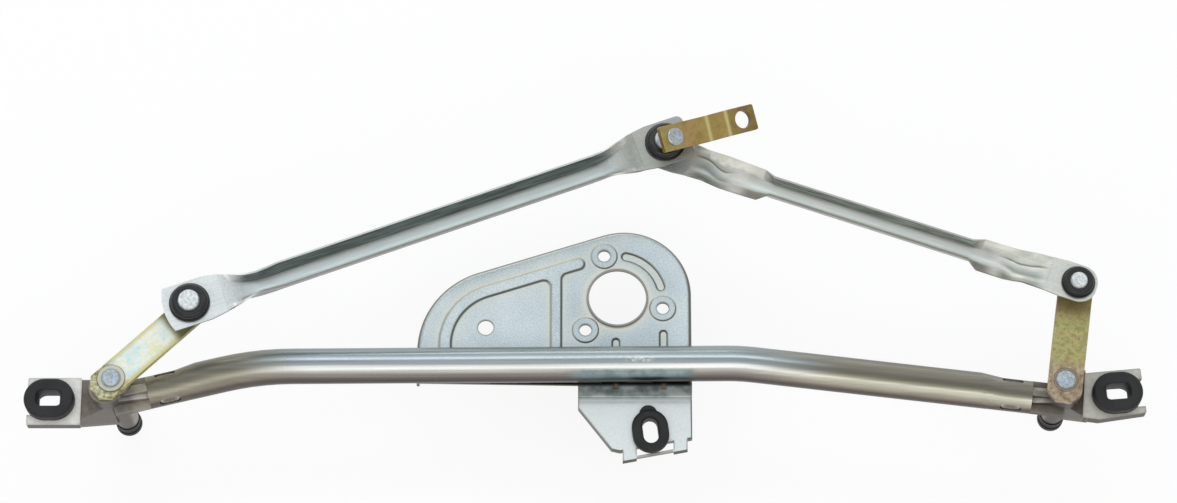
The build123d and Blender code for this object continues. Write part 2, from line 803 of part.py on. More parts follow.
def ear_blank(corners, skirt, outward):
    """Flat ear with a skirt turned down around its edges, except on the open outer side."""
    low = ear_top_z - ear_thickness
    outline = make_face(Polyline(*corners, close=True))
    block = slab(outline, low - skirt, ear_top_z)
    block = fillet(block.edges().filter_by(Axis.Z), ear_corner_radius)
    hollow = slab(offset(outline, -ear_skirt_wall, kind=Kind.INTERSECTION), low - skirt - 1, low)
    xs = [x for x, y in corners]
    ys = [y for x, y in corners]
    outer_x = max(xs) if outward > 0 else min(xs)
    width = max(ys) - min(ys) - 2 * ear_skirt_wall
    mouth = Pos(outer_x, (max(ys) + min(ys)) / 2) * Rectangle(4 * ear_skirt_wall, width - 4 * ear_skirt_wall)
    return block - hollow - slab(mouth, low - skirt - 1, low)


def pivot_housing(left):
    shaft = left_shaft if left else right_shaft
    corners = left_ear_corners if left else right_ear_corners
    skirt = left_ear_skirt if left else right_ear_skirt
    reach = left_boss_reach if left else right_boss_reach
    outward = -1 if left else 1
    if left:
        slot = ear_slot(left_grommet_x, left_grommet_y, 0, outward)
    else:
        slot = ear_slot(right_grommet_x, right_grommet_y, right_grommet_turn, outward)
    inner_edge = max(corners) if left else min(corners)
    ys = [y for x, y in corners]
    ear_side = web_section(
        inner_edge[0] + outward * web_overlap,
        min(ys) + web_inset,
        max(ys) - 3 * web_inset,
        ear_top_z - ear_thickness - skirt,
        ear_top_z - web_inset,
    )
    barrel_side = web_section(
        shaft[0] + outward * barrel_waist_diameter * 0.2,
        shaft[1] - barrel_waist_diameter * 0.45,
        shaft[1] + barrel_waist_diameter * 0.45,
        barrel_bottom(left) + web_foot_height,
        web_top_z,
    )
    web = loft([ear_side, barrel_side], ruled=True)
    boss = slab(Pos(reach, 0) * Circle(boss_diameter / 2), barrel_top_z - barrel_head_height, boss_top_z)
    aim = left_boss_heading if left else right_boss_heading
    body = Pos(*shaft, 0) * (barrel(left) + Rot(0, 0, aim) * boss) + web + spigot(left, shaft)
    body = body + ear_blank(corners, skirt, outward) - slot
    return body - Pos(*shaft, 0) * barrel_bore(left)


# Shaft, bearings and seals
def clip_low_z(left):
    return barrel_bottom(left) - washer_thickness - 2 * axial_play - circlip_thickness


def seal_bottom_z(left):
    return barrel_bottom(left) - seal_cavity_height - seal_floor


def wiper_shaft(left):
    head_diameter = left_head_diameter if left else right_head_diameter
    journal = shaft_diameter / 2
    thread = shaft_thread_diameter / 2
    tip = seal_bottom_z(left) - shaft_cone_length - shaft_thread_length
    cone_end = tip + shaft_thread_length
    head_top = arm_top_z + shaft_head_height
    points = [
        (0, head_top),
        (head_diameter / 2 - 0.8, head_top),
        (head_diameter / 2, head_top - 0.7),
        (head_diameter / 2, arm_top_z),
        (shaft_shank_diameter / 2, arm_top_z),
        (shaft_shank_diameter / 2, arm_bottom_z),
        (journal, arm_bottom_z),
        (journal, cone_end + shaft_cone_length),
        (thread + 0.3, cone_end),
        (thread, cone_end),
        (thread, tip + 0.8),
        (thread - 0.8, tip),
        (0, tip),
    ]
    low = clip_low_z(left)
    groove = ring(journal + 1, circlip_groove_diameter / 2, low, low + circlip_thickness)
    return turned(points) - groove


def bush(low):
    return ring(bush_outer_radius, shaft_diameter / 2 + shaft_clearance, low, low + bush_length)


def upper_bush():
    return bush(barrel_top_z - oring_pocket_depth() - bush_length)


def lower_bush(left):
    return bush(barrel_bottom(left))


def thrust_washer():
    low = barrel_top_z
    return ring(washer_diameter / 2, shaft_diameter / 2 + 0.1, low, low + washer_thickness)


def lower_washer(left):
    high = barrel_bottom(left) - axial_play
    outer = barrel_bottom_diameter / 2 - 1.2
    return ring(outer, shaft_diameter / 2 + 0.1, high - washer_thickness, high)


def circlip(left):
    low = clip_low_z(left)
    whole = ring(circlip_diameter / 2, circlip_groove_diameter / 2, low, low + circlip_thickness)
    reach = circlip_diameter
    half = math.radians(circlip_gap_angle / 2)
    gap = Polyline((0, 0), (reach, -reach * math.tan(half)), (reach, reach * math.tan(half)), close=True)
    return whole - slab(make_face(gap), low - 1, low + circlip_thickness + 1)


def oring():
    middle = shaft_diameter / 2 + oring_clearance + oring_diameter / 2
    return Pos(0, 0, barrel_top_z - oring_pocket_depth() + oring_diameter / 2) * Torus(middle, oring_diameter / 2)


def shaft_seal(left):
    """Black rubber cup over the foot of the barrel, with the shaft coming out of it."""
    outer = seal_diameter / 2
    foot = barrel_bottom(left)
    bottom = seal_bottom_z(left)
    lip = barrel_bottom_diameter / 2 + 0.1
    cavity = barrel_bottom_diameter / 2 - 0.6
    floor = bottom + seal_floor
    hole = shaft_diameter / 2 + seal_clearance
    points = [
        (hole, bottom),
        (outer - 1.2, bottom),
        (outer, bottom + 1.2),
        (outer, floor),
        (outer - 0.5, floor + 0.6),
        (outer - 0.5, foot + seal_overlap),
        (lip, foot + seal_overlap),
        (lip, foot),
        (cavity, foot),
        (cavity, floor),
        (hole, floor),
    ]
    return turned(points)


# Crank arms
def crank_arm(length, width, head_diameter):
    """Flat bar along X: shaft at the origin, ball stud at the far end."""
    half = width / 2
    points = [
        (-arm_tail, -half + arm_corner),
        (-arm_tail, half - arm_corner),
        (-arm_tail + arm_corner, half),
        (length, half),
        (length, -half),
        (-arm_tail + arm_corner, -half),
    ]
    blank = make_face(Polyline(*points, close=True)) + Pos(length, 0) * Circle(half)
    bar = slab(blank, arm_bottom_z, arm_top_z)
    dish = head_diameter / 2 + arm_ring_gap
    bar += disc(dish + arm_ring_width, arm_top_z - 0.01, arm_top_z + arm_ring_height)
    bar -= disc(dish, arm_top_z, arm_top_z + 5)
    bar -= disc(shaft_shank_diameter / 2, arm_bottom_z - 1, arm_top_z + 1)
    return bar - Pos(length, 0) * disc(stud_shank_diameter / 2, arm_bottom_z - 1, arm_top_z + 1)


def ball_stud(ball_diameter, neck_diameter):
    """Ball with a flat top, riveted through the arm."""
    radius = ball_diameter / 2
    collar = neck_diameter / 2 + 2.2
    shank = disc(stud_shank_diameter / 2, arm_bottom_z, arm_top_z + 0.5)
    head = turned(
        [
            (0, arm_bottom_z),
            (stud_shank_diameter / 2 + 2.2, arm_bottom_z),
            (stud_shank_diameter / 2 + 1.2, arm_bottom_z - stud_head_height),
            (0, arm_bottom_z - stud_head_height),
        ]
    )
    flange = disc(collar, arm_top_z, arm_top_z + stud_collar_height)
    neck = disc(neck_diameter / 2, arm_top_z, outer_ball_z)
    ball = Pos(0, 0, outer_ball_z) * Sphere(radius)
    flat = outer_ball_z + min(ball_flat_height, radius - 1)
    ball -= disc(radius + 1, flat, outer_ball_z + ball_diameter)
    return shank + head + flange + neck + ball


# Rod sockets
def rod_socket(outer_diameter, hole_diameter, ball_diameter, neck_diameter, seat):
    """Moulded socket snapped through the rod; z=0 is the top face of the rod's sheet."""
    outer = outer_diameter / 2
    hole = hole_diameter / 2 - press_clearance
    cavity = ball_diameter / 2 + ball_clearance
    bottom = -rod_sheet - socket_lip_height
    dome_top = seat + ball_flat_height - ball_standout
    mouth = neck_diameter / 2 + 0.7
    crown = math.sqrt(cavity**2 - (dome_top - seat) ** 2) + 1.6
    shoulder = outer - socket_groove_width
    step = socket_rim_height + 0.9
    lines = Polyline(
        (0, bottom),
        (hole + socket_lip_width - 0.6, bottom),
        (hole + socket_lip_width, bottom + 0.6),
        (hole + socket_lip_width, -rod_sheet),
        (hole, -rod_sheet),
        (hole, 0),
        (outer, 0),
        (outer, socket_rim_height),
        (shoulder, socket_rim_height),
        (shoulder, step),
    )
    middle = ((shoulder + crown) / 2 + 0.9, (step + dome_top) / 2 + 0.9)
    dome = ThreePointArc((shoulder, step), middle, (crown, dome_top))
    close = Polyline((crown, dome_top), (0, dome_top), (0, bottom))
    face = make_face(Plane.XZ * (lines + dome + close))
    body = revolve(face, Axis.Z)
    body -= Pos(0, 0, seat) * Sphere(cavity)
    funnel = Cone(mouth + 1.6, mouth, -rod_sheet - bottom, align=(Align.CENTER, Align.CENTER, Align.MIN))
    body -= Pos(0, 0, bottom) * funnel
    return body - disc(mouth, bottom - 1, seat)


# Rods
def channel_section(s, level, half, height, lean):
    """Cross-section of a pressed channel at distance s along the rod, open towards +Z.

    level is the top of the floor, half its half width. Each wall rises by height
    while it leans outwards by lean.
    """
    rise = math.atan2(height, lean)
    corner = rod_sheet * math.tan(rise / 2)
    edge = half + lean
    top = level + height
    outline = [
        (-half - corner, level - rod_sheet),
        (half + corner, level - rod_sheet),
        (edge + rod_sheet * math.sin(rise), top - rod_sheet * math.cos(rise)),
        (edge, top),
        (half, level),
        (-half, level),
        (-edge, top),
        (-edge - rod_sheet * math.sin(rise), top - rod_sheet * math.cos(rise)),
    ]
    return Face(Wire.make_polygon([Vector(s, y, z) for y, z in outline], close=True))


def pressed_channel(stations):
    """Ruled skin through (s, level, half width, wall height, wall lean) stations."""
    sections = [channel_section(*station) for station in stations]
    channel = loft(sections[0:2], ruled=True)
    for first, second in zip(sections[1:-1], sections[2:]):
        channel += loft([first, second], ruled=True)
    return channel


def bowed_head(end, shoulder, neck, half, neck_half, bow, level):
    """Flat head around the origin with a gently bowed end, tapered towards the channel."""
    side = [(neck, -neck_half), (shoulder, -half), (end + bow, -half)]
    back = ThreePointArc(side[-1], (end, 0), (end + bow, half))
    outline = Polyline(*side) + back + Polyline((end + bow, half), (shoulder, half), (neck, neck_half))
    face = make_face(outline + Line((neck, neck_half), side[0]))
    return slab(face, level - rod_sheet, level)


def rod_head(end, shoulder, neck, half, neck_half, corner, level):
    """Flat head around the origin: square end, straight sides, tapered towards the channel."""
    points = [
        (end, -half),
        (end, half),
        (shoulder, half),
        (neck, neck_half),
        (neck, -neck_half),
        (shoulder, -half),
    ]
    return slab(rounded_polygon(points, [corner, corner, 0, 0, 0, 0]), level - rod_sheet, level)


def left_rod():
    outer = left_rod_outer_z
    inner = left_rod_inner_z
    length = left_rod_length

    def base(s):
        share = (s - 24) / (length - 20 - 24)
        return outer + left_rod_rise * min(1, max(0, share))

    # Distance along the rod, drop below the heads, half width, wall height, wall lean
    shape = [
        (16, 0, 9.5, 0.02, 4.8),
        (23, 0, 9.5, 0.02, 4.7),
        (27, 1.5, 8.8, 0.9, 4.2),
        (32, 4.4, 7.4, 2.9, 3.8),
        (37, 7.9, 6.2, 5.7, 3.2),
        (43, 11.0, 5.5, 8.4, 2.2),
        (50, 13.0, 5.2, 10.4, 1.6),
        (58, 13.8, 5.2, 11.1, 2.2),
        (67, 13.8, 5.2, 11.2, 3.0),
        (length - 62, 13.8, 5.2, 11.2, 3.0),
        (length - 50, 13.4, 5.2, 10.9, 3.0),
        (length - 43, 11.4, 5.6, 9.0, 3.2),
        (length - 36, 8.0, 6.6, 6.0, 3.7),
        (length - 30, 4.6, 7.9, 3.2, 4.2),
        (length - 24, 1.4, 9.4, 0.9, 4.7),
        (length - 19, 0, 9.8, 0.02, 4.9),
        (length - 13, 0, 9.8, 0.02, 4.9),
    ]
    stations = [(s, base(s) - drop, half, height, lean) for s, drop, half, height, lean in shape]
    rod = pressed_channel(stations)
    rod += bowed_head(-18.6, 12.0, 24.0, 16.2, 14.2, 3.4, outer)
    rod += Pos(length, 0, 0) * rod_head(17.3, -10.0, -20.0, 16.2, 14.7, 4.5, inner)
    rod -= disc(large_rod_hole / 2, outer - 10, outer + 10)
    return rod - Pos(length, 0, 0) * disc(large_rod_hole / 2, inner - 10, inner + 10)


def right_rod():
    outer = right_rod_outer_z
    inner = right_rod_inner_z
    length = right_rod_length

    # Distance along the rod, floor level, half width, wall height, wall lean
    stations = [
        (14, outer, 7.8, 0.02, 5.0),
        (20, outer, 7.6, 0.02, 5.0),
        (25, outer - 1.4, 6.6, 1.3, 5.6),
        (31, outer - 2.7, 5.7, 2.5, 6.2),
        (37, outer - 4.0, 5.4, 2.8, 6.0),
        (43, outer - 7.0, 5.3, 3.2, 6.2),
        (50, outer - 9.4, 5.1, 3.6, 6.6),
        (60, outer - 10.2, 5.0, 3.8, 6.6),
        (70, outer - 10.4, 4.9, 3.9, 6.6),
        (78, outer - 10.7, 4.8, 7.0, 1.6),
        (length - 80, inner - 5.8, 4.7, 7.2, 1.5),
        (length - 72, inner - 6.0, 4.7, 3.4, 6.7),
        (length - 56, inner - 6.9, 4.8, 4.4, 7.0),
        (length - 45, inner - 7.0, 4.8, 5.0, 7.2),
        (length - 38, inner - 5.0, 5.3, 3.8, 6.4),
        (length - 31, inner - 2.8, 5.9, 2.5, 5.4),
        (length - 25, inner - 1.5, 6.5, 1.4, 5.4),
        (length - 19, inner, 7.6, 0.02, 4.8),
        (length - 13, inner, 7.8, 0.02, 4.8),
    ]
    rod = pressed_channel(stations)
    rod += rod_head(-13.4, 10.0, 21.0, 13.4, 12.6, 12.0, outer)
    rod += Pos(length, 0, 0) * rod_head(13.4, -10.0, -19.0, 13.4, 12.4, 12.0, inner)
    rod -= disc(small_rod_hole / 2, outer - 10, outer + 10)
    return rod - Pos(length, 0, 0) * disc(small_rod_hole / 2, inner - 10, inner + 10)


# Motor crank and its pin
def crank_plane():
    """Plane at the crank ball: X along the crank, Z along the pin."""
    tilt = math.radians(crank_tilt)
    lean = math.radians(crank_tilt_heading)
    aim = math.radians(crank_heading)
    normal = Vector(
        math.sin(tilt) * math.cos(lean),
        math.sin(tilt) * math.sin(lean),
        math.cos(tilt),
    )
    along = Vector(math.cos(aim), math.sin(aim), 0)
    along = along - normal * along.dot(normal)
    return Plane(origin=(shared_pin[0], shared_pin[1], crank_ball_z), x_dir=along, z_dir=normal)


def crank_nose_x():
    return crank_throw + crank_nose


def motor_crank():
    top = crank_ball_drop
    low = top - crank_thickness
    first = crank_bend_start
    second = first + crank_bend_run
    nose = crank_nose_x()
    rise = crank_bend_rise
    profile = [
        (-crank_tail, low),
        (first + 0.8, low),
        (second + 0.8, low + rise),
        (nose, low + rise),
        (nose, top + rise),
        (second - 0.8, top + rise),
        (first - 0.8, top),
        (-crank_tail, top),
    ]
    side = make_face(Plane.XZ * Polyline(*profile, close=True))
    bar = extrude(side, crank_width / 2, both=True)
    corners = bar.edges().filter_by(Axis.Z)
    bar = fillet(corners.group_by(Axis.X)[0] + corners.group_by(Axis.X)[-1], crank_corner)
    bar -= disc(stud_shank_diameter / 2, low - 1, top + 1)
    bar -= Pos(crank_throw, 0) * disc(crank_hole_diameter / 2, low, top + rise + 5)
    return crank_plane() * bar


def crank_ball_pin():
    radius = large_ball_diameter / 2
    low = crank_ball_drop - crank_thickness
    head = turned(
        [
            (0, crank_ball_drop),
            (left_head_diameter / 2, crank_ball_drop),
            (left_head_diameter / 2, crank_ball_drop + 1.0),
            (left_head_diameter / 2 - 1.0, crank_ball_drop + 1.6),
            (0, crank_ball_drop + 1.6),
        ]
    )
    shank = disc(stud_shank_diameter / 2, low - 0.5, crank_ball_drop + 0.5)
    flange = disc(stud_shank_diameter / 2 + 1.8, low - 1.6, low)
    neck = disc(stud_shank_diameter / 2, 0, low)
    pin = head + shank + flange + neck + Sphere(radius)
    return crank_plane() * pin


def crank_pin_lower_ball():
    """Lower ball of the shared pin. Its neck ends just under the upper ball."""
    radius = small_ball_diameter / 2
    top = crank_ball_z - large_ball_diameter / 2 - split_gap
    ball = Pos(0, 0, pin_ball_z) * Sphere(radius)
    ball -= disc(radius + 1, pin_ball_z - small_ball_diameter, pin_ball_z - radius + 1.5)
    neck = disc(small_neck_diameter / 2, pin_ball_z, top)
    return Pos(*shared_pin, 0) * (ball + neck)


def on_left_shaft(piece):
    return Pos(left_shaft_x, left_shaft_y, 0) * piece


def on_right_shaft(piece):
    return Pos(right_shaft_x, right_shaft_y, 0) * piece


def on_left_arm(piece):
    return on_left_shaft(Rot(0, 0, left_arm_angle) * piece)


def on_right_arm(piece):
    return on_right_shaft(Rot(0, 0, right_arm_angle) * piece)


def on_left_rod(piece):
    return Pos(*left_ball, 0) * Rot(0, 0, left_rod_angle) * piece


def on_right_rod(piece):
    return Pos(*right_ball, 0) * Rot(0, 0, right_rod_angle) * piece


def large_socket():
    return rod_socket(
        large_socket_diameter,
        large_rod_hole,
        large_ball_diameter,
        large_neck_diameter,
        large_ball_seat,
    )


def small_socket():
    return rod_socket(
        small_socket_diameter,
        small_rod_hole,
        small_ball_diameter,
        small_neck_diameter,
        small_ball_seat,
    )


def save(name, shape):
    shape.label = name
    export_step(shape, f"parts/{name}.step")


os.makedirs("parts", exist_ok=True)

save("frame_tube", frame_tube())
save("motor_plate", motor_plate())
save("plate_welds", plate_welds())
save("left_pivot_housing", pivot_housing(True))
save("right_pivot_housing", pivot_housing(False))
save("left_grommet", end_grommet(left_grommet_x, left_grommet_y, 0))
save("right_grommet", end_grommet(right_grommet_x, right_grommet_y, right_grommet_turn))
save("centre_grommet", centre_grommet())

for side, place in (("left", on_left_shaft), ("right", on_right_shaft)):
    is_left = side == "left"
    save(f"{side}_wiper_shaft", place(wiper_shaft(is_left)))
    save(f"{side}_upper_bush", place(upper_bush()))
    save(f"{side}_lower_bush", place(lower_bush(is_left)))
    save(f"{side}_o_ring", place(oring()))
    save(f"{side}_thrust_washer", place(thrust_washer()))
    save(f"{side}_lower_washer", place(lower_washer(is_left)))
    save(f"{side}_circlip", place(circlip(is_left)))
    save(f"{side}_shaft_seal", place(shaft_seal(is_left)))

left_arm = crank_arm(left_arm_length, left_arm_width, left_head_diameter)
right_arm = crank_arm(right_arm_length, right_arm_width, right_head_diameter)
save("left_crank_arm", on_left_arm(left_arm))
save("right_crank_arm", on_right_arm(right_arm))
left_stud = ball_stud(large_ball_diameter, large_neck_diameter)
right_stud = ball_stud(small_ball_diameter, small_neck_diameter)
save("left_ball_stud", Pos(*left_ball, 0) * left_stud)
save("right_ball_stud", Pos(*right_ball, 0) * right_stud)

save("left_rod", on_left_rod(left_rod()))
save("left_rod_outer_socket", on_left_rod(Pos(0, 0, left_rod_outer_z) * large_socket()))
left_inner = Pos(left_rod_length, 0, left_rod_inner_z)
save("left_rod_crank_socket", on_left_rod(left_inner * large_socket()))
save("right_rod", on_right_rod(right_rod()))
save("right_rod_outer_socket", on_right_rod(Pos(0, 0, right_rod_outer_z) * small_socket()))
right_inner = Pos(right_rod_length, 0, right_rod_inner_z)
save("right_rod_crank_socket", on_right_rod(right_inner * small_socket()))

save("motor_crank", motor_crank())
save("crank_ball_pin", crank_ball_pin())
save("crank_pin_lower_ball", crank_pin_lower_ball())
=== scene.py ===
import math
import random

import bmesh
import bpy
from mathutils import Matrix, Vector


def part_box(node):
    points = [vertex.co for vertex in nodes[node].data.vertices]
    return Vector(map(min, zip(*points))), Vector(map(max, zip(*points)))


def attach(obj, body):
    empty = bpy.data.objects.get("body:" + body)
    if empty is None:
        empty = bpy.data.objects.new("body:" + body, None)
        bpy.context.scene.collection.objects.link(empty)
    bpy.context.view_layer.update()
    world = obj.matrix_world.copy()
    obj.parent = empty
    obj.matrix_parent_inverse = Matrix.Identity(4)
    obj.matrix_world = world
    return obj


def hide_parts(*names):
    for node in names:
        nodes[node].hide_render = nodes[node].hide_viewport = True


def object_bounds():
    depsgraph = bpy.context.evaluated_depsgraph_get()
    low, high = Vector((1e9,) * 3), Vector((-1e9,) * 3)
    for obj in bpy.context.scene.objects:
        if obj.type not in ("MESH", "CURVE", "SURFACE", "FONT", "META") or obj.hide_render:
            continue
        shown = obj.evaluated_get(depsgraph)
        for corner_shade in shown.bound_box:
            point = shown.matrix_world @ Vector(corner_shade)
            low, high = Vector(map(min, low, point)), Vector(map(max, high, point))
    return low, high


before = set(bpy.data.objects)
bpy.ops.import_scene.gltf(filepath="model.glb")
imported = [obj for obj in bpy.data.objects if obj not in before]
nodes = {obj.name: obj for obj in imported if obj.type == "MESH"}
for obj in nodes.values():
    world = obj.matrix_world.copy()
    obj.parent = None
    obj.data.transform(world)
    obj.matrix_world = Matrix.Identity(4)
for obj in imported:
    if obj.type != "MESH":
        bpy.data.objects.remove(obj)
cad_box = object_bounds()
print("pieces from the frame:", len(nodes))
print("size in mm:", [round(v * 1000, 1) for v in cad_box[1] - cad_box[0]])

# %% [markdown]
# ## Edges that catch the light
# A sheared or moulded edge is never a knife edge. The imported meshes have split corners and
# flat faces cut into long triangles, which would make a bevel stumble. So the points are merged,
# the flat triangles joined, and then a narrow bevel rounds every edge sharper than a small
# angle. The last modifier lets the large faces rule the shading, so that flats stay flat.
# All of these are modifiers, so the solids themselves stay as they came.
# %% How soft each edge is
sides = ("left", "right")
softness_mm = {
    "motor_plate": 0.35,
    "motor_crank": 0.4,
    "crank_ball_pin": 0.25,
    "centre_grommet": 0.6,
}
paired_mm = {
    "crank_arm": 0.45,
    "rod": 0.25,
    "pivot_housing": 0.6,
    "grommet": 0.6,
    "rod_outer_socket": 0.35,
    "rod_crank_socket": 0.35,
    "ball_stud": 0.25,
    "wiper_shaft": 0.25,
}
for side in sides:
    for kind, width in paired_mm.items():
        softness_mm[side + "_" + kind] = width
print("pieces with soft edges:", len(softness_mm))

# %% Soften the edges
same_point = 1e-6
flat_degrees = 0.5
sharp_degrees = 38
large_face_weight = 90


def soften(piece, width_mm):
    weld = piece.modifiers.new("merge split corners", "WELD")
    weld.merge_threshold = same_point
    flats = piece.modifiers.new("whole flat faces", "DECIMATE")
    flats.decimate_type = "DISSOLVE"
    flats.angle_limit = math.radians(flat_degrees)
    bevel = piece.modifiers.new("rounded edges", "BEVEL")
    bevel.width = width_mm / 1000
    bevel.segments = 2
    bevel.limit_method = "ANGLE"
    bevel.angle_limit = math.radians(sharp_degrees)
    even = piece.modifiers.new("even shading", "WEIGHTED_NORMAL")
    even.weight = large_face_weight
    even.keep_sharp = False


for name, width in softness_mm.items():
    soften(nodes[name], width)
print("widest rounding:", max(softness_mm.values()), "mm")

# %% [markdown]
# ## How a finish starts
# Every finish starts from Blender's one general shader and differs in colour, roughness and
# fine relief. Colours are written as they look on screen, from 0 to 255, because that is how
# an eye judges them. Light adds up in linear values, so each colour is converted once.
# %% Colours and the shader
def screen(red, green, blue):
    """A colour as it looks on screen, turned into linear light."""
    linear = []
    for value in (red, green, blue):
        share = value / 255
        linear.append(share / 12.92 if share <= 0.04045 else ((share + 0.055) / 1.055) ** 2.4)
    return (*linear, 1.0)


def shader_of(finish):
    return finish.node_tree.nodes["Principled BSDF"]


def new_finish(name, colour, metallic, roughness):
    finish = bpy.data.materials.new(name)
    finish.use_nodes = True
    shader = shader_of(finish)
    shader.inputs["Base Color"].default_value = screen(*colour)
    shader.inputs["Metallic"].default_value = metallic
    shader.inputs["Roughness"].default_value = roughness
    return finish


print("screen grey 128 in linear light:", round(screen(128, 128, 128)[0], 3))

# %% [markdown]
# ## Layers of colour
# A finish is a stack of layers: a value between 0 and 1 says where a layer lies, and a colour
# is laid there over the ones below. Nodes could be placed by hand. With a helper for each
# kind of step, a finish reads as a recipe instead, one line for each layer.
# %% Helpers that lay nodes
def add(finish, kind, **inputs):
    made = finish.node_tree.nodes.new(kind)
    for name, value in inputs.items():
        made.inputs[name.replace("_", " ")].default_value = value
    return made


def join(finish, source, target):
    finish.node_tree.links.new(source, target)


def feed(finish, input_name, source):
    """Joins a colour or a value to an input of the shader."""
    join(finish, source, shader_of(finish).inputs[input_name])


def calculate(finish, operation, first, second=0.0):
    made = add(finish, "ShaderNodeMath")
    made.operation = operation
    for source, socket in zip((first, second), made.inputs):
        if isinstance(source, (float, int)):
            socket.default_value = source
        else:
            join(finish, source, socket)
    return made.outputs["Value"]


def product(finish, *values):
    """All the values multiplied, so that it is 1 only where each of them is."""
    result = values[0]
    for value in values[1:]:
        result = calculate(finish, "MULTIPLY", result, value)
    return result


print("node helpers ready")

# %% Helpers for values
def levels(finish, value, low, high, at_low=0.0, at_high=1.0, even=False):
    """Stretches a value between two limits, and holds it there."""
    made = add(finish, "ShaderNodeMapRange")
    made.interpolation_type = "LINEAR" if even else "SMOOTHSTEP"
    limits = {"From Min": low, "From Max": high, "To Min": at_low, "To Max": at_high}
    for name, limit in limits.items():
        made.inputs[name].default_value = limit
    join(finish, value, made.inputs["Value"])
    return made.outputs["Result"]


def fade(finish, value, full, gone, share=1.0):
    """The share where the value is low, and nothing where it is high."""
    return levels(finish, value, full, gone, share, 0.0)


def between(finish, value, start, full, fall, end):
    """Rises from start to full, and falls again from fall to end."""
    rising = levels(finish, value, start, full)
    return product(finish, rising, fade(finish, value, fall, end))


print("value helpers ready")

# %% Helpers for colours
plain = (255, 255, 255)


def ramp(finish, value, stops):
    """Colours placed along a value: stops are (position, screen colour)."""
    made = add(finish, "ShaderNodeValToRGB")
    elements = made.color_ramp.elements
    while len(elements) < len(stops):
        elements.new(0.5)
    for element, (place, colour) in zip(elements, stops):
        element.position = place
        element.color = screen(*colour)
    join(finish, value, made.inputs["Fac"])
    return made.outputs["Color"]


def blend(finish, share, below, above, mode="MIX"):
    """Lays a colour over another by a share. A bare tuple is a screen colour."""
    made = add(finish, "ShaderNodeMix")
    made.data_type = "RGBA"
    made.blend_type = mode
    for source, name in ((share, "Factor"), (below, "A"), (above, "B")):
        socket = next(s for s in made.inputs if s.name == name and s.enabled)
        if isinstance(source, tuple):
            socket.default_value = screen(*source)
        elif isinstance(source, float):
            socket.default_value = source
        else:
            join(finish, source, socket)
    return next(s for s in made.outputs if s.enabled)


def shade(finish, colour, tone, share=1.0):
    """Multiplies a colour by a tone, as a film of dirt or a painted shade does."""
    return blend(finish, share, colour, tone, "MULTIPLY")


print("colour helpers ready")

# %% [markdown]
# ## Galvanised sheet
# The motor plate is pressed from sheet that was zinc coated in a bath. Its grey is cool, with fine
# mottling and broad pale clouds where the bath ran off. One flat colour would look like paint, and
# a repeated picture would show its seams, so two noises of very different size are mixed. Noise is
# placed in metres on the piece, so its grain has a real size. Round the motor the sheet is a little
# darker.
# %% Zinc skin of the plate
def spread_points(finish, stretch=(1, 1, 1)):
    """Position on the piece in metres, squeezed or stretched along each axis."""
    where = add(finish, "ShaderNodeTexCoord")
    scale = add(finish, "ShaderNodeMapping", Scale=stretch)
    join(finish, where.outputs["Object"], scale.inputs["Vector"])
    return scale.outputs["Vector"]


def noise(finish, per_metre, detail=3.0, stretch=(1, 1, 1), roughness=0.55):
    made = add(finish, "ShaderNodeTexNoise", Scale=per_metre, Detail=detail, Roughness=roughness)
    join(finish, spread_points(finish, stretch), made.inputs["Vector"])
    return made.outputs["Fac"]


sheet = new_finish("galvanised sheet", (200, 212, 217), 0.5, 0.4)
fine = noise(sheet, 900, 4)
cloud = noise(sheet, 30)
mottled = ramp(sheet, fine, [(0.32, (160, 174, 180)), (0.68, (244, 254, 255))])
clouded = ramp(sheet, cloud, [(0.3, (204, 217, 224)), (0.7, (240, 248, 250))])
zinc = blend(sheet, 0.5, mottled, clouded)

# The axis of the motor runs through the origin
from_motor = add(sheet, "ShaderNodeVectorMath")
from_motor.operation = "LENGTH"
join(sheet, spread_points(sheet), from_motor.inputs[0])
darker_round_motor = fade(sheet, from_motor.outputs["Value"], 0.03, 0.06, 0.9)
zinc = blend(sheet, darker_round_motor, zinc, shade(sheet, zinc, (236, 239, 241)))
print("first layers of", sheet.name)

# %% [markdown]
# ## Beads, step and rim
# Raised beads stiffen the sheet, a step runs below the tube, and the rim is turned down. The flat
# sheet shows the sky, and a slope shows whatever is beside it, so each bead shows as a pale line
# and a dark line. The lamps do part of that. The rest is painted into the colour: painted highlight
# and painted shade by the direction that the surface faces, and a painted cream highlight where the
# sheet starts to rise, found by how open the space above it is.
# %% Helpers for direction and place
up = (0, 0, 1)


def facing(finish, direction):
    """1 where the surface faces the direction, 0 side on, below 0 where it faces away."""
    where = add(finish, "ShaderNodeTexCoord")
    dot = add(finish, "ShaderNodeVectorMath")
    dot.operation = "DOT_PRODUCT"
    join(finish, where.outputs["Normal"], dot.inputs[0])
    dot.inputs[1].default_value = Vector(direction).normalized()
    return dot.outputs["Value"]


def position(finish, axis):
    where = add(finish, "ShaderNodeTexCoord")
    split = add(finish, "ShaderNodeSeparateXYZ")
    join(finish, where.outputs["Object"], split.inputs["Vector"])
    return split.outputs[axis]


def open_space(finish, reach_mm, inside=False):
    """1 on an open face, less near a wall; inside the solid, less near an outer edge."""
    made = add(finish, "ShaderNodeAmbientOcclusion", Distance=reach_mm / 1000)
    made.samples = 8
    made.inside = inside
    made.only_local = True
    return made.outputs["AO"]


print("place helpers ready")

# %% Slopes and rim of the plate
# Painted cream highlight where the sheet starts to rise
rise_highlight = fade(sheet, open_space(sheet, 9.0), 0.86, 0.99, 0.85)
zinc = blend(sheet, rise_highlight, zinc, (236, 235, 222))

# Painted highlight where a slope leans to the upper left, painted shade where it leans to the lower
# right
lower_right = (0.6, -0.8, 0)
leaning = levels(sheet, facing(sheet, lower_right), -0.6, 0.6)
slope_light_and_shade_stops = [(0.1, (196, 194, 182)), (0.5, (176, 178, 170)), (0.9, (86, 98, 96))]
slope_light_and_shade = ramp(sheet, leaning, slope_light_and_shade_stops)
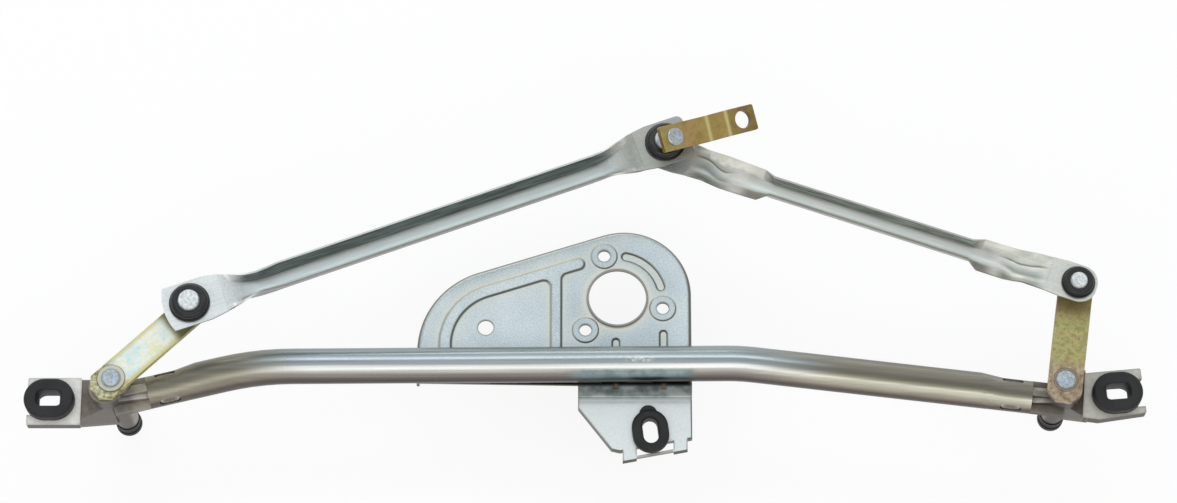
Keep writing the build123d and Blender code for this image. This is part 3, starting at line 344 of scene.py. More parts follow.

# The painted light and shade of the slopes is weaker on the step below the tube
down_plate = position(sheet, "Y")
on_step = between(sheet, down_plate, -0.0735, -0.0715, -0.0645, -0.0625)
off_step = calculate(sheet, "SUBTRACT", 1.0, product(sheet, on_step, 0.75))
upward = facing(sheet, up)
slope = product(sheet, fade(sheet, upward, 0.78, 0.985, 0.9), off_step)
zinc = blend(sheet, slope, zinc, slope_light_and_shade)
# Painted shade on the steep walls of the beads
steep_shade = product(sheet, fade(sheet, upward, 0.36, 0.72, 0.9), off_step)
zinc = blend(sheet, steep_shade, zinc, (90, 91, 86))

# Painted shade: a dark line where the rim turns down
turned_down = fade(sheet, position(sheet, "Z"), -0.0012, -0.0004, 0.85)
above_tube = levels(sheet, down_plate, -0.055, -0.05)
curved = fade(sheet, upward, 0.88, 0.96)
rim_shade = product(sheet, turned_down, above_tube, curved)
zinc = blend(sheet, rim_shade, zinc, (104, 102, 96))
print("slopes and rim laid on", sheet.name)

# %% [markdown]
# ## The tab and the scorched strip
# Below the tube the sheet goes on as a tab, painted brighter as a painted reflection of the light
# in front. The strip beside the tube is darker, partly scorched by the welding heat and partly
# painted shade where the step faces down, with painted highlights along the fold, and right under
# the tube lies a painted shadow, a dark line that hardly any light reaches. A ramp across that
# strip places them, and a noise breaks up the scorch, as soot does.
# %% Tab, scorch and dark line
# The tab is painted brighter, a painted reflection of the light in front
tab_share = fade(sheet, down_plate, -0.072, -0.066, 0.85)
tab_painted_light = ramp(sheet, fine, [(0.3, (238, 246, 244)), (0.7, (254, 255, 254))])
zinc = blend(sheet, calculate(sheet, "SUBTRACT", tab_share, slope), zinc, tab_painted_light)

beside_tube = levels(sheet, down_plate, -0.078, -0.0505, even=True)
# Painted highlights along the fold, then a band that is partly scorch and partly painted shade
fold_light_and_scorch_stops = [
    (0.05, plain),
    (0.1, (222, 228, 226)),
    (0.15, plain),
    (0.21, (190, 200, 200)),
    (0.28, (136, 150, 150)),
    (0.36, (112, 124, 126)),
    (0.5, (130, 142, 142)),
    (0.8, plain),
]
soot = levels(sheet, noise(sheet, 80, 2), 0.34, 0.66, 0.5, 1.0)
scorch_and_shade = blend(sheet, soot, plain, ramp(sheet, beside_tube, fold_light_and_scorch_stops))
zinc = shade(sheet, zinc, scorch_and_shade)

# Painted shadow of the tube: a dark line right under it
tube_shadow_stops = [
    (0.44, plain),
    (0.49, (40, 44, 44)),
    (0.58, (16, 18, 18)),
    (0.66, (90, 96, 96)),
    (0.8, plain),
]
zinc = shade(sheet, zinc, ramp(sheet, beside_tube, tube_shadow_stops))
print("tab and scorch laid on", sheet.name)

# %% [markdown]
# ## Sheared edges and relief
# The press tool shears the sheet, and the bare steel of the cut is browner than the zinc. Such
# an edge is found from inside the solid, where the way to the outside is short. The skin
# itself is not quite smooth. Bumps of a few hundredths of a millimetre are too small for a
# mesh, so they only tilt the shading.
# %% Sheared edges, gloss and relief
def relief(finish, heights, depths_mm):
    """Fine bumps, one on top of the other: each height is a value, each depth in mm."""
    normal = None
    for height, depth in zip(heights, depths_mm):
        bump = add(finish, "ShaderNodeBump", Strength=1.0, Distance=depth / 1000)
        join(finish, height, bump.inputs["Height"])
        if normal is not None:
            join(finish, normal, bump.inputs["Normal"])
        normal = bump.outputs["Normal"]
    feed(finish, "Normal", normal)


def wear(finish, *names):
    """Puts a finish on solids of the frame."""
    for name in names:
        nodes[name].data.materials.clear()
        nodes[name].data.materials.append(finish)


sheared = fade(sheet, open_space(sheet, 1.7, inside=True), 0.62, 0.93, 0.7)
zinc = blend(sheet, sheared, zinc, (126, 118, 108))
feed(sheet, "Base Color", zinc)
feed(sheet, "Roughness", levels(sheet, fine, 0.3, 0.7, 0.34, 0.46))
relief(sheet, [fine, cloud], [0.008, 0.1])
wear(sheet, "motor_plate")
print("finish:", sheet.name)

# %% [markdown]
# ## Drawn tube
# The tube is drawn bright steel. Drawing leaves faint streaks along it, so the noise is stretched
# fiftyfold along the tube. Its reflections and shade are painted into the colour by the direction
# that the surface faces: a painted white highlight and bluish painted reflections on the upper
# flank, and brown painted shade underneath. A ramp along that direction places them. On the two
# bent legs the painted reflections are darker and more olive than on the straight middle, and the
# legs were handled more and are duller.
# %% Painted reflections along the tube
tube = new_finish("drawn steel tube", (208, 212, 210), 0.75, 0.26)
streak = noise(tube, 420, 3, (0.02, 1, 1))
upper_flank = (0, 0.94, 0.342)
flank = levels(tube, facing(tube, upper_flank), -1.0, 1.0, even=True)
middle_painted_reflections = [
    (0.01, (60, 52, 50)),
    (0.095, (83, 75, 73)),
    (0.175, (123, 114, 110)),
    (0.255, (190, 184, 180)),
    (0.34, (250, 250, 244)),
    (0.42, (230, 234, 233)),
    (0.5, (216, 219, 220)),
    (0.58, (190, 198, 199)),
    (0.66, (171, 182, 185)),
    (0.74, (228, 240, 246)),
    (0.82, (170, 181, 187)),
    (0.9, (175, 188, 193)),
    (0.985, (140, 150, 155)),
]
right_leg_painted_reflections = [
    (0.02, (80, 72, 66)),
    (0.1, (96, 87, 79)),
    (0.17, (150, 142, 130)),
    (0.24, (208, 202, 184)),
    (0.33, (254, 253, 234)),
    (0.42, (226, 224, 206)),
    (0.48, (152, 150, 134)),
    (0.56, (128, 124, 109)),
    (0.7, (121, 116, 105)),
    (0.83, (160, 155, 142)),
    (0.9, (178, 174, 160)),
    (0.98, (120, 118, 108)),
]
left_leg_painted_reflections = [
    (0.04, (92, 84, 78)),
    (0.16, (106, 99, 91)),
    (0.27, (180, 172, 156)),
    (0.38, (186, 182, 165)),
    (0.49, (150, 146, 131)),
    (0.6, (142, 137, 122)),
    (0.7, (122, 118, 106)),
    (0.81, (154, 150, 138)),
    (0.92, (136, 134, 122)),
]
along_tube = position(tube, "X")
left_leg = fade(tube, along_tube, -0.275, -0.205)
right_leg = levels(tube, along_tube, 0.075, 0.165)
painted_reflections_and_marks = blend(tube, left_leg, ramp(tube, flank, middle_painted_reflections), ramp(tube, flank, left_leg_painted_reflections))
painted_reflections_and_marks = blend(tube, right_leg, painted_reflections_and_marks, ramp(tube, flank, right_leg_painted_reflections))
print("films along the tube:", len(middle_painted_reflections), len(right_leg_painted_reflections), len(left_leg_painted_reflections), "stops")

# %% [markdown]
# ## What the tube mirrors and carries
# The bright tab below the tube is painted again on its lower flank as a painted reflection, a
# little broken up. The tube is locked to the castings by crimp pockets, which get painted shade
# where they are deepest and a bright floor, and there is a spatter mark of the welding on its
# crown. Each is a layer of its own, placed by the distance along the tube, the flank or the depth
# of the pocket.
# %% Tab reflection, pockets and spatter
tab_reflection_stops = [
    (0.04, (60, 66, 66)),
    (0.1, (70, 78, 77)),
    (0.175, (129, 151, 155)),
    (0.255, (188, 211, 218)),
    (0.34, (206, 226, 228)),
    (0.42, (230, 236, 235)),
]
scallops = ramp(tube, noise(tube, 75, 2), [(0.32, (196, 203, 203)), (0.6, plain)])
over_tab = between(tube, along_tube, -0.04, -0.02, 0.045, 0.058)
underside = fade(tube, flank, 0.34, 0.42)
painted_tab_reflection = shade(tube, ramp(tube, flank, tab_reflection_stops), scallops)
painted_reflections_and_marks = blend(tube, product(tube, over_tab, underside), painted_reflections_and_marks, painted_tab_reflection)

depth_in_pocket = open_space(tube, 4.0)
# Painted shade where a pocket is deepest, and a bright floor
pocket_shade_and_floor_stops = [
    (0.4, (70, 66, 60)),
    (0.58, (96, 90, 82)),
    (0.72, (236, 232, 222)),
    (0.84, (206, 200, 188)),
]
pocket = fade(tube, depth_in_pocket, 0.82, 0.92, 0.95)
painted_reflections_and_marks = blend(tube, pocket, painted_reflections_and_marks, ramp(tube, depth_in_pocket, pocket_shade_and_floor_stops))


def gap_from(finish, value, centre):
    """How far a value lies from a centre, to either side."""
    return calculate(finish, "ABSOLUTE", calculate(finish, "SUBTRACT", value, centre))


spatter_x = 0.0155
near_spatter = fade(tube, gap_from(tube, along_tube, spatter_x), 0.004, 0.012)
on_crown = between(tube, flank, 0.54, 0.62, 0.7, 0.78)
spots = levels(tube, noise(tube, 420, 4), 0.47, 0.56)
painted_reflections_and_marks = blend(tube, product(tube, near_spatter, on_crown, spots), painted_reflections_and_marks, (232, 238, 236))
print("spatter mark at", spatter_x * 1000, "mm")

# %% Streaks and gloss of the tube
streaks = ramp(tube, streak, [(0.3, (226, 227, 227)), (0.7, plain)])
feed(tube, "Base Color", shade(tube, painted_reflections_and_marks, streaks))
legs = calculate(tube, "MAXIMUM", left_leg, right_leg)
feed(tube, "Roughness", levels(tube, legs, 0.0, 1.0, 0.25, 0.36))
relief(tube, [streak], [0.012])
wear(tube, "frame_tube")
print("finish:", tube.name)

# %% [markdown]
# ## Zinc plated rods
# The rods are pressed from strip and plated bright. Inside the channels the walls are painted dark
# and greenish as shade, by the direction they face, and the flat heads and floors are pale. Both
# rods lie at an angle, so the place on a rod is measured along it and across it in plan, from the
# ball at its one end. Rolling has left fine lines along the strip, which is noise again, drawn out
# along the rod.
# %% Measuring along a rod
def plan_distance(finish, start, angle, across=False):
    """Distance in metres from the start along a direction in plan, or across it."""
    turn = math.radians(angle + (90 if across else 0))
    where = add(finish, "ShaderNodeTexCoord")
    dot = add(finish, "ShaderNodeVectorMath")
    dot.operation = "DOT_PRODUCT"
    join(finish, where.outputs["Object"], dot.inputs[0])
    dot.inputs[1].default_value = (math.cos(turn), math.sin(turn), 0)
    offset = start.x * math.cos(turn) + start.y * math.sin(turn)
    return calculate(finish, "SUBTRACT", dot.outputs["Value"], offset)


def centre_of(name):
    low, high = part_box(name)
    return (low + high) / 2


def heading_of(start, end):
    """Direction in plan from one point to another, in degrees."""
    return math.degrees(math.atan2(end.y - start.y, end.x - start.x))


def rolled_lines(finish, start, heading):
    """Noise drawn out along the rod, as rolling and pressing leave it on strip."""
    drawn_out = 0.06
    ways = add(finish, "ShaderNodeCombineXYZ")
    along = product(finish, plan_distance(finish, start, heading), drawn_out)
    join(finish, along, ways.inputs["X"])
    join(finish, plan_distance(finish, start, heading, across=True), ways.inputs["Y"])
    join(finish, position(finish, "Z"), ways.inputs["Z"])
    made = add(finish, "ShaderNodeTexNoise", Scale=700, Detail=4.0, Roughness=0.6)
    join(finish, ways.outputs["Vector"], made.inputs["Vector"])
    return made.outputs["Fac"]


left_rod_ends = centre_of("left_ball_stud"), centre_of("crank_ball_pin")
print("left rod lies at", round(heading_of(*left_rod_ends), 1), "degrees")

# %% [markdown]
# ## Floors, folds and walls
# Seen from above, the floor of a channel gets a painted highlight beside its dark wall and painted
# shade towards its lower edge, so one ramp across the rod serves the whole floor. The flattened
# heads of the right rod are creased where the channel was pressed flat. Their folds wander, so the
# place on the ramp is shifted to and fro by a broad noise. The creases are painted light and shade
# only, and the solids keep their smooth heads.
# %% Layers of a plated rod
floor_light_and_shade_stops = [
    (0.12, (112, 105, 98)),
    (0.2, (138, 134, 126)),
    (0.26, (196, 210, 208)),
    (0.36, (228, 243, 243)),
    (0.41, (240, 253, 254)),
    (0.47, (218, 230, 232)),
    (0.56, (203, 210, 211)),
    (0.66, (194, 200, 197)),
    (0.8, (184, 190, 188)),
    (0.92, (204, 210, 208)),
]
fold_light_and_shade_stops = [
    (0.02, (130, 132, 128)),
    (0.12, (186, 194, 194)),
    (0.24, (250, 255, 255)),
    (0.36, (160, 168, 168)),
    (0.5, (206, 216, 218)),
    (0.64, plain),
    (0.69, (84, 86, 82)),
    (0.75, (214, 218, 210)),
    (0.9, (240, 244, 240)),
]
wall_gains = [(0.34, 0.76), (0.5, 1.0), (0.66, 1.24)]


def tinted(colour, gain):
    """The same screen colour, darker or lighter."""
    return tuple(min(255, round(part * gain)) for part in colour)


def on_stretch(finish, along, stretch):
    """1 on a stretch of the rod, given as shares of its length."""
    soft = 0.02
    start, end = stretch
    return between(finish, along, start - soft, start + soft, end - soft, end + soft)


def folded(finish, colour, along, across, heads):
    """Painted light and shade of creases along the flattened heads of a rod."""
    wander = levels(finish, noise(finish, 30, 1), 0.3, 0.7, -0.12, 0.12)
    fold = ramp(finish, calculate(finish, "ADD", across, wander), fold_light_and_shade_stops)
    for head in heads:
        share = product(finish, on_stretch(finish, along, head), 0.85)
        colour = blend(finish, share, colour, fold)
    return colour


print("stops across a rod:", len(floor_light_and_shade_stops), "on the floor,", len(fold_light_and_shade_stops), "on a fold")

# %% Rod finish
rod_half_width = 0.01


def plated_rod(name, first, last, channel, tones, wall_shade_tone, creased=()):
    """Zinc on a rod between the centres of two balls, with its channel, tones, painted folds and
    painted shade on its walls and corners.
    """
    finish = new_finish("zinc plate of " + name, (212, 218, 219), 0.5, 0.34)
    start, end = centre_of(first), centre_of(last)
    heading = heading_of(start, end)
    length = (end.xy - start.xy).length
    along = calculate(finish, "DIVIDE", plan_distance(finish, start, heading), length)
    off_middle = plan_distance(finish, start, heading, across=True)
    across = levels(finish, off_middle, -rod_half_width, rod_half_width, even=True)
    scuffs = noise(finish, 90, 4, (0.25, 1, 1))
    grit = noise(finish, 700, 4)
    scuffed = ramp(finish, scuffs, [(0.3, (232, 238, 239)), (0.68, (254, 255, 255))])
    gritty = ramp(finish, grit, [(0.32, (208, 215, 215)), (0.68, (254, 255, 255))])
    colour = blend(finish, 0.4, scuffed, gritty)
    in_channel = product(finish, on_stretch(finish, along, channel), 0.75)
    colour = blend(finish, in_channel, colour, ramp(finish, across, floor_light_and_shade_stops))
    if creased:
        colour = folded(finish, colour, along, across, creased)
    colour = shade(finish, colour, ramp(finish, along, tones))
    # Painted shade in the corners
    corner_shade = fade(finish, open_space(finish, 4.0), 0.5, 0.95, 0.75)
    colour = blend(finish, corner_shade, colour, (112, 120, 118))
    lines = rolled_lines(finish, start, heading)
    # Painted shade on the walls, by the direction they face, with the rolled lines in it
    wall = ramp(finish, lines, [(at, tinted(wall_shade_tone, gain)) for at, gain in wall_gains])
    upward = levels(finish, facing(finish, up), 0.2, 0.7)
    colour = blend(finish, upward, wall, colour)
    rubbed = ramp(finish, lines, [(0.36, (230, 230, 226)), (0.6, plain)])
    feed(finish, "Base Color", shade(finish, colour, rubbed, 0.5))
    feed(finish, "Roughness", levels(finish, grit, 0.35, 0.65, 0.3, 0.42))
    relief(finish, [grit, scuffs], [0.008, 0.08])
    wear(finish, name)
    print("finish:", finish.name, "heading", round(heading, 1))


left_tones = [
    (0.0, plain),
    (0.1, (246, 246, 246)),
    (0.15, plain),
    (0.88, (250, 250, 248)),
    (0.92, (190, 190, 182)),
]
right_tones = [
    (0.04, (208, 208, 202)),
    (0.12, (220, 220, 214)),
    (0.2, (244, 239, 233)),
    (0.8, (244, 238, 232)),
    (0.84, (238, 236, 228)),
]
plated_rod(
    "left_rod",
    "left_ball_stud",
    "crank_ball_pin",
    channel=(0.13, 0.88),
    tones=left_tones,
    wall_shade_tone=(122, 132, 130),
)
plated_rod(
    "right_rod",
    "crank_pin_lower_ball",
    "right_ball_stud",
    channel=(0.2, 0.8),
    tones=right_tones,
    wall_shade_tone=(156, 162, 156),
    creased=((0.08, 0.16), (0.82, 0.92)),
)

# %% [markdown]
# ## Yellow passivated arms
# Yellow passivation is a film so thin that it shines in several colours at once: gold, pale green,
# a hint of blue and rose. Soft clouds of noise walk along a ramp with those colours in their real
# order, and the sides, which do not face up, get a darker and golder painted shade. The two arms
# and the crank come from different baths, so each has its own ramp.
# %% Passivated film
def passivated(name, stops, clouds_per_metre, metallic, dirt_share, dirt_tone):
    """A yellow film with specks of dirt, and its colour for further layers."""
    finish = new_finish(name, (200, 195, 150), metallic, 0.34)
    clouds = noise(finish, clouds_per_metre, 5, roughness=0.62)
    specks = noise(finish, 420, 4)
    dirty = levels(finish, specks, 0.5, 0.7, 0.0, dirt_share)
    colour = blend(finish, dirty, ramp(finish, clouds, stops), dirt_tone)
    # Painted shade, darker and golder, on sides that do not face up
    upward = levels(finish, facing(finish, up), 0.2, 0.9)
    colour = blend(finish, upward, shade(finish, colour, (190, 172, 132)), colour)
    feed(finish, "Roughness", levels(finish, specks, 0.35, 0.7, 0.28, 0.44))
    relief(finish, [specks, clouds], [0.008, 0.04])
    return finish, colour


pale_stops = [
    (0.3, (240, 240, 194)),
    (0.42, (254, 255, 240)),
    (0.5, (255, 255, 252)),
    (0.58, (226, 250, 255)),
    (0.66, (255, 250, 226)),
]
olive_stops = [
    (0.3, (146, 122, 78)),
    (0.4, (178, 158, 108)),
    (0.5, (188, 182, 122)),
    (0.6, (160, 160, 96)),
    (0.7, (188, 162, 124)),
]
gold_stops = [
    (0.28, (142, 115, 62)),
    (0.42, (168, 149, 84)),
    (0.54, (180, 164, 100)),
    (0.66, (170, 136, 98)),
    (0.78, (174, 158, 82)),
]
left_arm, left_tone = passivated("pale yellow zinc", pale_stops, 50, 0.3, 0.1, (176, 170, 130))
right_arm, right_tone = passivated(
    "olive yellow zinc", olive_stops, 110, 0.35, 0.55, (128, 100, 70)
)
crank, crank_tone = passivated("gold yellow zinc", gold_stops, 70, 0.4, 0.3, (150, 112, 84))
print("films:", left_arm.name, right_arm.name, crank.name)

# %% [markdown]
# ## Soiled tails and staked heads
# Each arm is pressed onto its shaft and staked: the steel is squeezed outwards into a pale
# collar with a dark line round it. Oil and dust gather there, so the tail of each arm is
# mottled, and the other end lies in the shadow of the rod. All of this goes by
# the distance from the shaft, measured along the arm and across it.
# %% Place on an arm
def shaft_axis(side):
    low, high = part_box(side + "_wiper_shaft")
    return Vector(((low.x + high.x) / 2, (low.y + high.y) / 2, 0))


def arm_ways(finish, side, angle):
    """Distances from the shaft along an arm and across it."""
    axis = shaft_axis(side)
    return plan_distance(finish, axis, angle), plan_distance(finish, axis, angle, across=True)


def staked_ring(finish, colour, ways, ring_mm, pale, dark):
    """Pale collar round a staked shaft head, with a dark line round the collar."""
    squares = [product(finish, way, way) for way in ways]
    metres = calculate(finish, "SQRT", calculate(finish, "ADD", *squares))
    radius_mm = product(finish, metres, 1000.0)
    collar = fade(finish, radius_mm, ring_mm - 0.2, ring_mm + 0.4, 0.9)
    colour = blend(finish, collar, colour, pale)
    line = between(finish, radius_mm, ring_mm, ring_mm + 0.35, ring_mm + 0.45, ring_mm + 1.1)
    return blend(finish, product(finish, line, 0.8), colour, dark)


for side in sides:
    print(side, "shaft at", [round(v * 1000, 1) for v in shaft_axis(side).xy])

# %% Left arm
left_arm_angle = 43.5
left_ways = arm_ways(left_arm, "left", left_arm_angle)
tint_stops = [(0.36, (255, 240, 226)), (0.5, (254, 255, 240)), (0.64, (222, 246, 248))]
tints = ramp(left_arm, noise(left_arm, 240, 5), tint_stops)
left_tone = shade(left_arm, left_tone, tints, 0.7)
edge = levels(left_arm, gap_from(left_arm, left_ways[1], 0.0), 0.0065, 0.0105, 0.0, 0.7)
left_tone = blend(left_arm, edge, left_tone, (208, 200, 108))
mottle_stops = [(0.38, (92, 80, 58)), (0.5, (164, 154, 108)), (0.6, (214, 210, 156))]
mottle = ramp(left_arm, noise(left_arm, 330, 4, roughness=0.65), mottle_stops)
tail = fade(left_arm, left_ways[0], -0.004, 0.014, 0.85)
left_tone = blend(left_arm, tail, left_tone, mottle)
# Painted shadow of the rod head on the far end of the arm
painted_rod_shadow = levels(left_arm, left_ways[0], 0.05, 0.057, 0.0, 0.85)
left_tone = blend(left_arm, painted_rod_shadow, left_tone, (104, 102, 46))
left_tone = staked_ring(left_arm, left_tone, left_ways, 9.2, (206, 208, 192), (84, 78, 62))
feed(left_arm, "Base Color", left_tone)
wear(left_arm, "left_crank_arm")
print("finish:", left_arm.name)

# %% Right arm
right_arm_angle = 81.5
right_ways = arm_ways(right_arm, "right", right_arm_angle)
rust_stops = [(0.34, (128, 104, 84)), (0.5, (170, 148, 124)), (0.64, (196, 180, 158))]
rust = ramp(right_arm, noise(right_arm, 240, 4, roughness=0.65), rust_stops)
tail = fade(right_arm, right_ways[0], 0.004, 0.018, 0.9)
right_tone = blend(right_arm, tail, right_tone, rust)
# Painted shadow of the rod head on the far end of the arm
painted_rod_shadow = levels(right_arm, right_ways[0], 0.036, 0.056, 0.0, 0.6)
right_tone = blend(right_arm, painted_rod_shadow, right_tone, (128, 104, 66))
right_tone = staked_ring(right_arm, right_tone, right_ways, 7.9, (172, 152, 132), (92, 70, 54))
feed(right_arm, "Base Color", right_tone)
wear(right_arm, "right_crank_arm")
print("finish:", right_arm.name)

# %% [markdown]
# ## The bends of the crank
# The motor crank is a flat bar with two bends. The stretches between the bends get painted tones of
# their own, for how each facet catches the light, and the bar is redder near the pin. A ramp along
# the bar gives the tones, and a narrow painted highlight at each bend stands for its shine.
# %% Crank
crank_reach = 0.055
bend_shares = (0.53, 0.78)
pin, motor_end = centre_of("crank_ball_pin"), centre_of("motor_crank")
crank_along = plan_distance(crank, pin, heading_of(pin, motor_end))
crank_share = levels(crank, crank_along, 0.0, crank_reach, even=True)
crank_stops = [
    (0.0, plain),
    (0.28, (255, 236, 240)),
    (0.5, (250, 244, 226)),
    (0.53, plain),
    (0.58, (240, 232, 214)),
    (0.74, (250, 240, 232)),
    (0.78, plain),
    (0.82, (228, 216, 196)),
    (1.0, (210, 200, 180)),
]
crank_tone = shade(crank, crank_tone, ramp(crank, crank_share, crank_stops))
# Painted highlight along each bend
for bend in bend_shares:
    bend_highlight = fade(crank, gap_from(crank, crank_share, bend), 0.004, 0.034, 0.6)
    crank_tone = blend(crank, bend_highlight, crank_tone, (228, 216, 148))
feed(crank, "Base Color", crank_tone)
wear(crank, "motor_crank")
print("finish:", crank.name)

# %% [markdown]
# ## Die castings
# The pivot housings are cast in a light alloy and left as they came from the die, with a matte,
# slightly brown skin. The flat upper faces of the ears are painted lighter, as faces that catch the
# light, and are found by facing up at the height of the ears. Corners that stand out are paler,
# hollows and the faces towards the front get painted shade, and the left neck is painted lighter
# than the rest.
# %% Cast housing finish
casting = new_finish("die cast alloy", (140, 133, 126), 0.3, 0.46)
skin = noise(casting, 260, 5)
patches = noise(casting, 40)
alloy = ramp(casting, skin, [(0.3, (134, 126, 120)), (0.7, (172, 164, 157))])
patchy = ramp(casting, patches, [(0.35, (122, 114, 107)), (0.65, (164, 157, 148))])
alloy = blend(casting, 0.4, alloy, patchy)
# Painted light on the flat upper faces of the ears
lit_ear_tone = ramp(casting, skin, [(0.3, (230, 228, 223)), (0.7, (252, 251, 247))])
flat = levels(casting, facing(casting, up), 0.93, 0.985)
height = position(casting, "Z")
ear_face = product(casting, flat, between(casting, height, 0.0165, 0.0185, 0.0195, 0.0215))
alloy = blend(casting, ear_face, alloy, lit_ear_tone)
pale_edges = fade(casting, open_space(casting, 2.5, inside=True), 0.5, 0.92, 0.5)
alloy = blend(casting, pale_edges, alloy, (186, 181, 172))
# Painted shade in hollows, and darker painted shade on faces towards the front
hollow_shade = fade(casting, open_space(casting, 8.0), 0.4, 0.9, 0.2)
alloy = blend(casting, hollow_shade, alloy, (100, 93, 87))
front = levels(casting, facing(casting, (0, -1, 0)), 0.5, 0.9, 0.0, 0.85)
alloy = blend(casting, front, alloy, (76, 71, 66))
across_car = position(casting, "X")
right_end = levels(casting, across_car, 0.0, 0.2)
alloy = blend(casting, right_end, alloy, shade(casting, alloy, (220, 218, 212)))
from_left_neck = levels(casting, across_car, -0.34, -0.332, 0.0, 0.4)
left_neck = product(casting, from_left_neck, fade(casting, right_end, 0.0, 0.5))
alloy = blend(casting, left_neck, alloy, (196, 187, 172))
feed(casting, "Base Color", alloy)
relief(casting, [skin, patches], [0.06, 0.25])
wear(casting, "left_pivot_housing", "right_pivot_housing")
print("finish:", casting.name)

# %% [markdown]
# ## Rubber and moulded plastic
# The grommets and seals are matte black rubber with a fine grain, and a faint grey bloom
# lies on the grommets. The ball sockets are nylon, smoother and a little glossy. All are
# nearly black, so it is mainly the roughness and the grain that tell them apart.
# %% Rubber and nylon finishes
def moulded(name, colour, roughness, grain_per_metre, grain_mm, bloom_share):
    finish = new_finish(name, colour, 0.0, roughness)
    grain = noise(finish, grain_per_metre, 4)
    bloomed = tuple(round(part + 16 * bloom_share) for part in colour)
    tone = ramp(finish, noise(finish, 60), [(0.3, tinted(colour, 0.8)), (0.7, bloomed)])
    feed(finish, "Base Color", tone)
    gloss = levels(finish, grain, 0.3, 0.7, roughness - 0.06, roughness + 0.08)
    feed(finish, "Roughness", gloss)
    relief(finish, [grain], [grain_mm])
    return finish


rubber = moulded("moulded rubber", (21, 21, 24), 0.55, 1400, 0.03, 1.0)
seal_rubber = moulded("seal rubber", (9, 9, 10), 0.5, 1400, 0.02, 0.2)
shader_of(seal_rubber).inputs["Specular IOR Level"].default_value = 0.25
nylon = moulded("black nylon", (24, 25, 27), 0.22, 900, 0.008, 0.5)
wear(rubber, "left_grommet", "right_grommet", "centre_grommet")
wear(seal_rubber, "left_shaft_seal", "right_shaft_seal", "left_o_ring", "right_o_ring")
for rod in ("left_rod", "right_rod"):
    wear(nylon, rod + "_outer_socket", rod + "_crank_socket")
print("finishes:", rubber.name, seal_rubber.name, nylon.name)

# %% [markdown]
# ## Turned and riveted steel
# Balls, rivet heads and shafts are bright steel. Turned faces have rings around their axis.
# A wave of rings has to be centred on each piece, so the finish is made once per piece with
# the centre of its own axis.
# %% Turned steel finish
def turned_steel(name, colour, centre, roughness, rings_per_metre=1500):
    finish = new_finish(name, colour, 0.85, roughness)
    where = add(finish, "ShaderNodeTexCoord")
    shift = add(finish, "ShaderNodeMapping", Location=(-centre[0], -centre[1], 0))
    join(finish, where.outputs["Object"], shift.inputs["Vector"])
    rings = add(finish, "ShaderNodeTexWave", Scale=rings_per_metre / 10, Distortion=0.6, Detail=2.0)
    rings.wave_type = "RINGS"
    rings.rings_direction = "Z"
    join(finish, shift.outputs["Vector"], rings.inputs["Vector"])
    marks = noise(finish, 500, 4)
    marked = ramp(finish, marks, [(0.35, tinted(colour, 0.86)), (0.65, tinted(colour, 1.08))])
    feed(finish, "Base Color", marked)
    relief(finish, [rings.outputs["Fac"], marks], [0.01, 0.03])
    return finish


def turned(piece, name, colour, roughness):
    """Turned steel on one piece, with rings round its own axis."""
    wear(turned_steel(name, colour, centre_of(piece), roughness), piece)
    print("finish:", name)


for side in sides:
    shaft, stud = side + "_wiper_shaft", side + "_ball_stud"
    turned(shaft, "bright steel of " + shaft, (188, 200, 208), 0.3)
    turned(stud, "ball steel of " + stud, (226, 230, 230), 0.32)
turned("crank_ball_pin", "bright pin steel", (196, 204, 208), 0.28)
turned("crank_pin_lower_ball", "ball steel", (200, 205, 208), 0.2)

# %% [markdown]
# ## Small parts inside the pivots
# Each pivot holds washers, two bushes of porous bronze that are soaked in oil, and a dark
# spring steel circlip. Hardly any of it shows, but a part that is taken apart should look
# right too, and the same turned finish serves with other colours.
# %% Washers, bushes and circlips
for side in sides:
    middle = centre_of(side + "_wiper_shaft")
    washer_steel = turned_steel(side + " washer steel", (176, 178, 178), middle, 0.35)
    wear(washer_steel, side + "_thrust_washer", side + "_lower_washer")
    bronze = turned_steel(side + " sintered bronze", (176, 134, 88), middle, 0.45, 900)
    wear(bronze, side + "_upper_bush", side + "_lower_bush")
    wear(turned_steel(side + " spring steel", (84, 82, 82), middle, 0.35), side + "_circlip")
    print("inner parts dressed:", side)

# %% [markdown]
# ## Weld beads
# At four places, short fillet welds hold the tube to the plate, one on each side of it. A
# weld has overlapping crescents, one for each moment that the wire melted. So each place gets
# a row of flattened balls, half sunk in the plate, that reaches under the tube and shows on
# both sides, with a straw and blue heat tint. The rows stand for the plain solids of the CAD,
# which touch in pairs under the tube, and the box of each pair says where its row goes. The
# boxes are sorted, since a set of points has no order and every run should give the same
# welds. One fault is known: the balls are whole, so they come out a little at the back of the
# plate and inside the tube. Half balls that stay below the inside of the tube would not.
# %% Find the weld beads
def islands(mesh):
    """Boxes of the connected parts of a mesh, as pairs of corners, from left to right."""
    shape = bmesh.new()
    shape.from_mesh(mesh)
    bmesh.ops.remove_doubles(shape, verts=shape.verts, dist=same_point)
    waiting = set(shape.verts)
    boxes = []
    while waiting:
        stack = [waiting.pop()]
        found = list(stack)
        while stack:
            for edge in stack.pop().link_edges:
                for vert in edge.verts:
                    if vert in waiting:
                        waiting.remove(vert)
                        stack.append(vert)
                        found.append(vert)
        low = Vector(map(min, *[v.co for v in found]))
        high = Vector(map(max, *[v.co for v in found]))
        boxes.append((low, high))
    shape.free()
    return sorted(boxes, key=lambda box: box[0].x)


bead_pairs = islands(nodes["plate_welds"].data)
print("pairs of weld beads:", len(bead_pairs))

# %% Build the rippled welds
crescents = 12
crescent_reach = 0.95
crescent_heights = (0.82, 0.98)
bead_end = Vector((0.001, 0, 0))


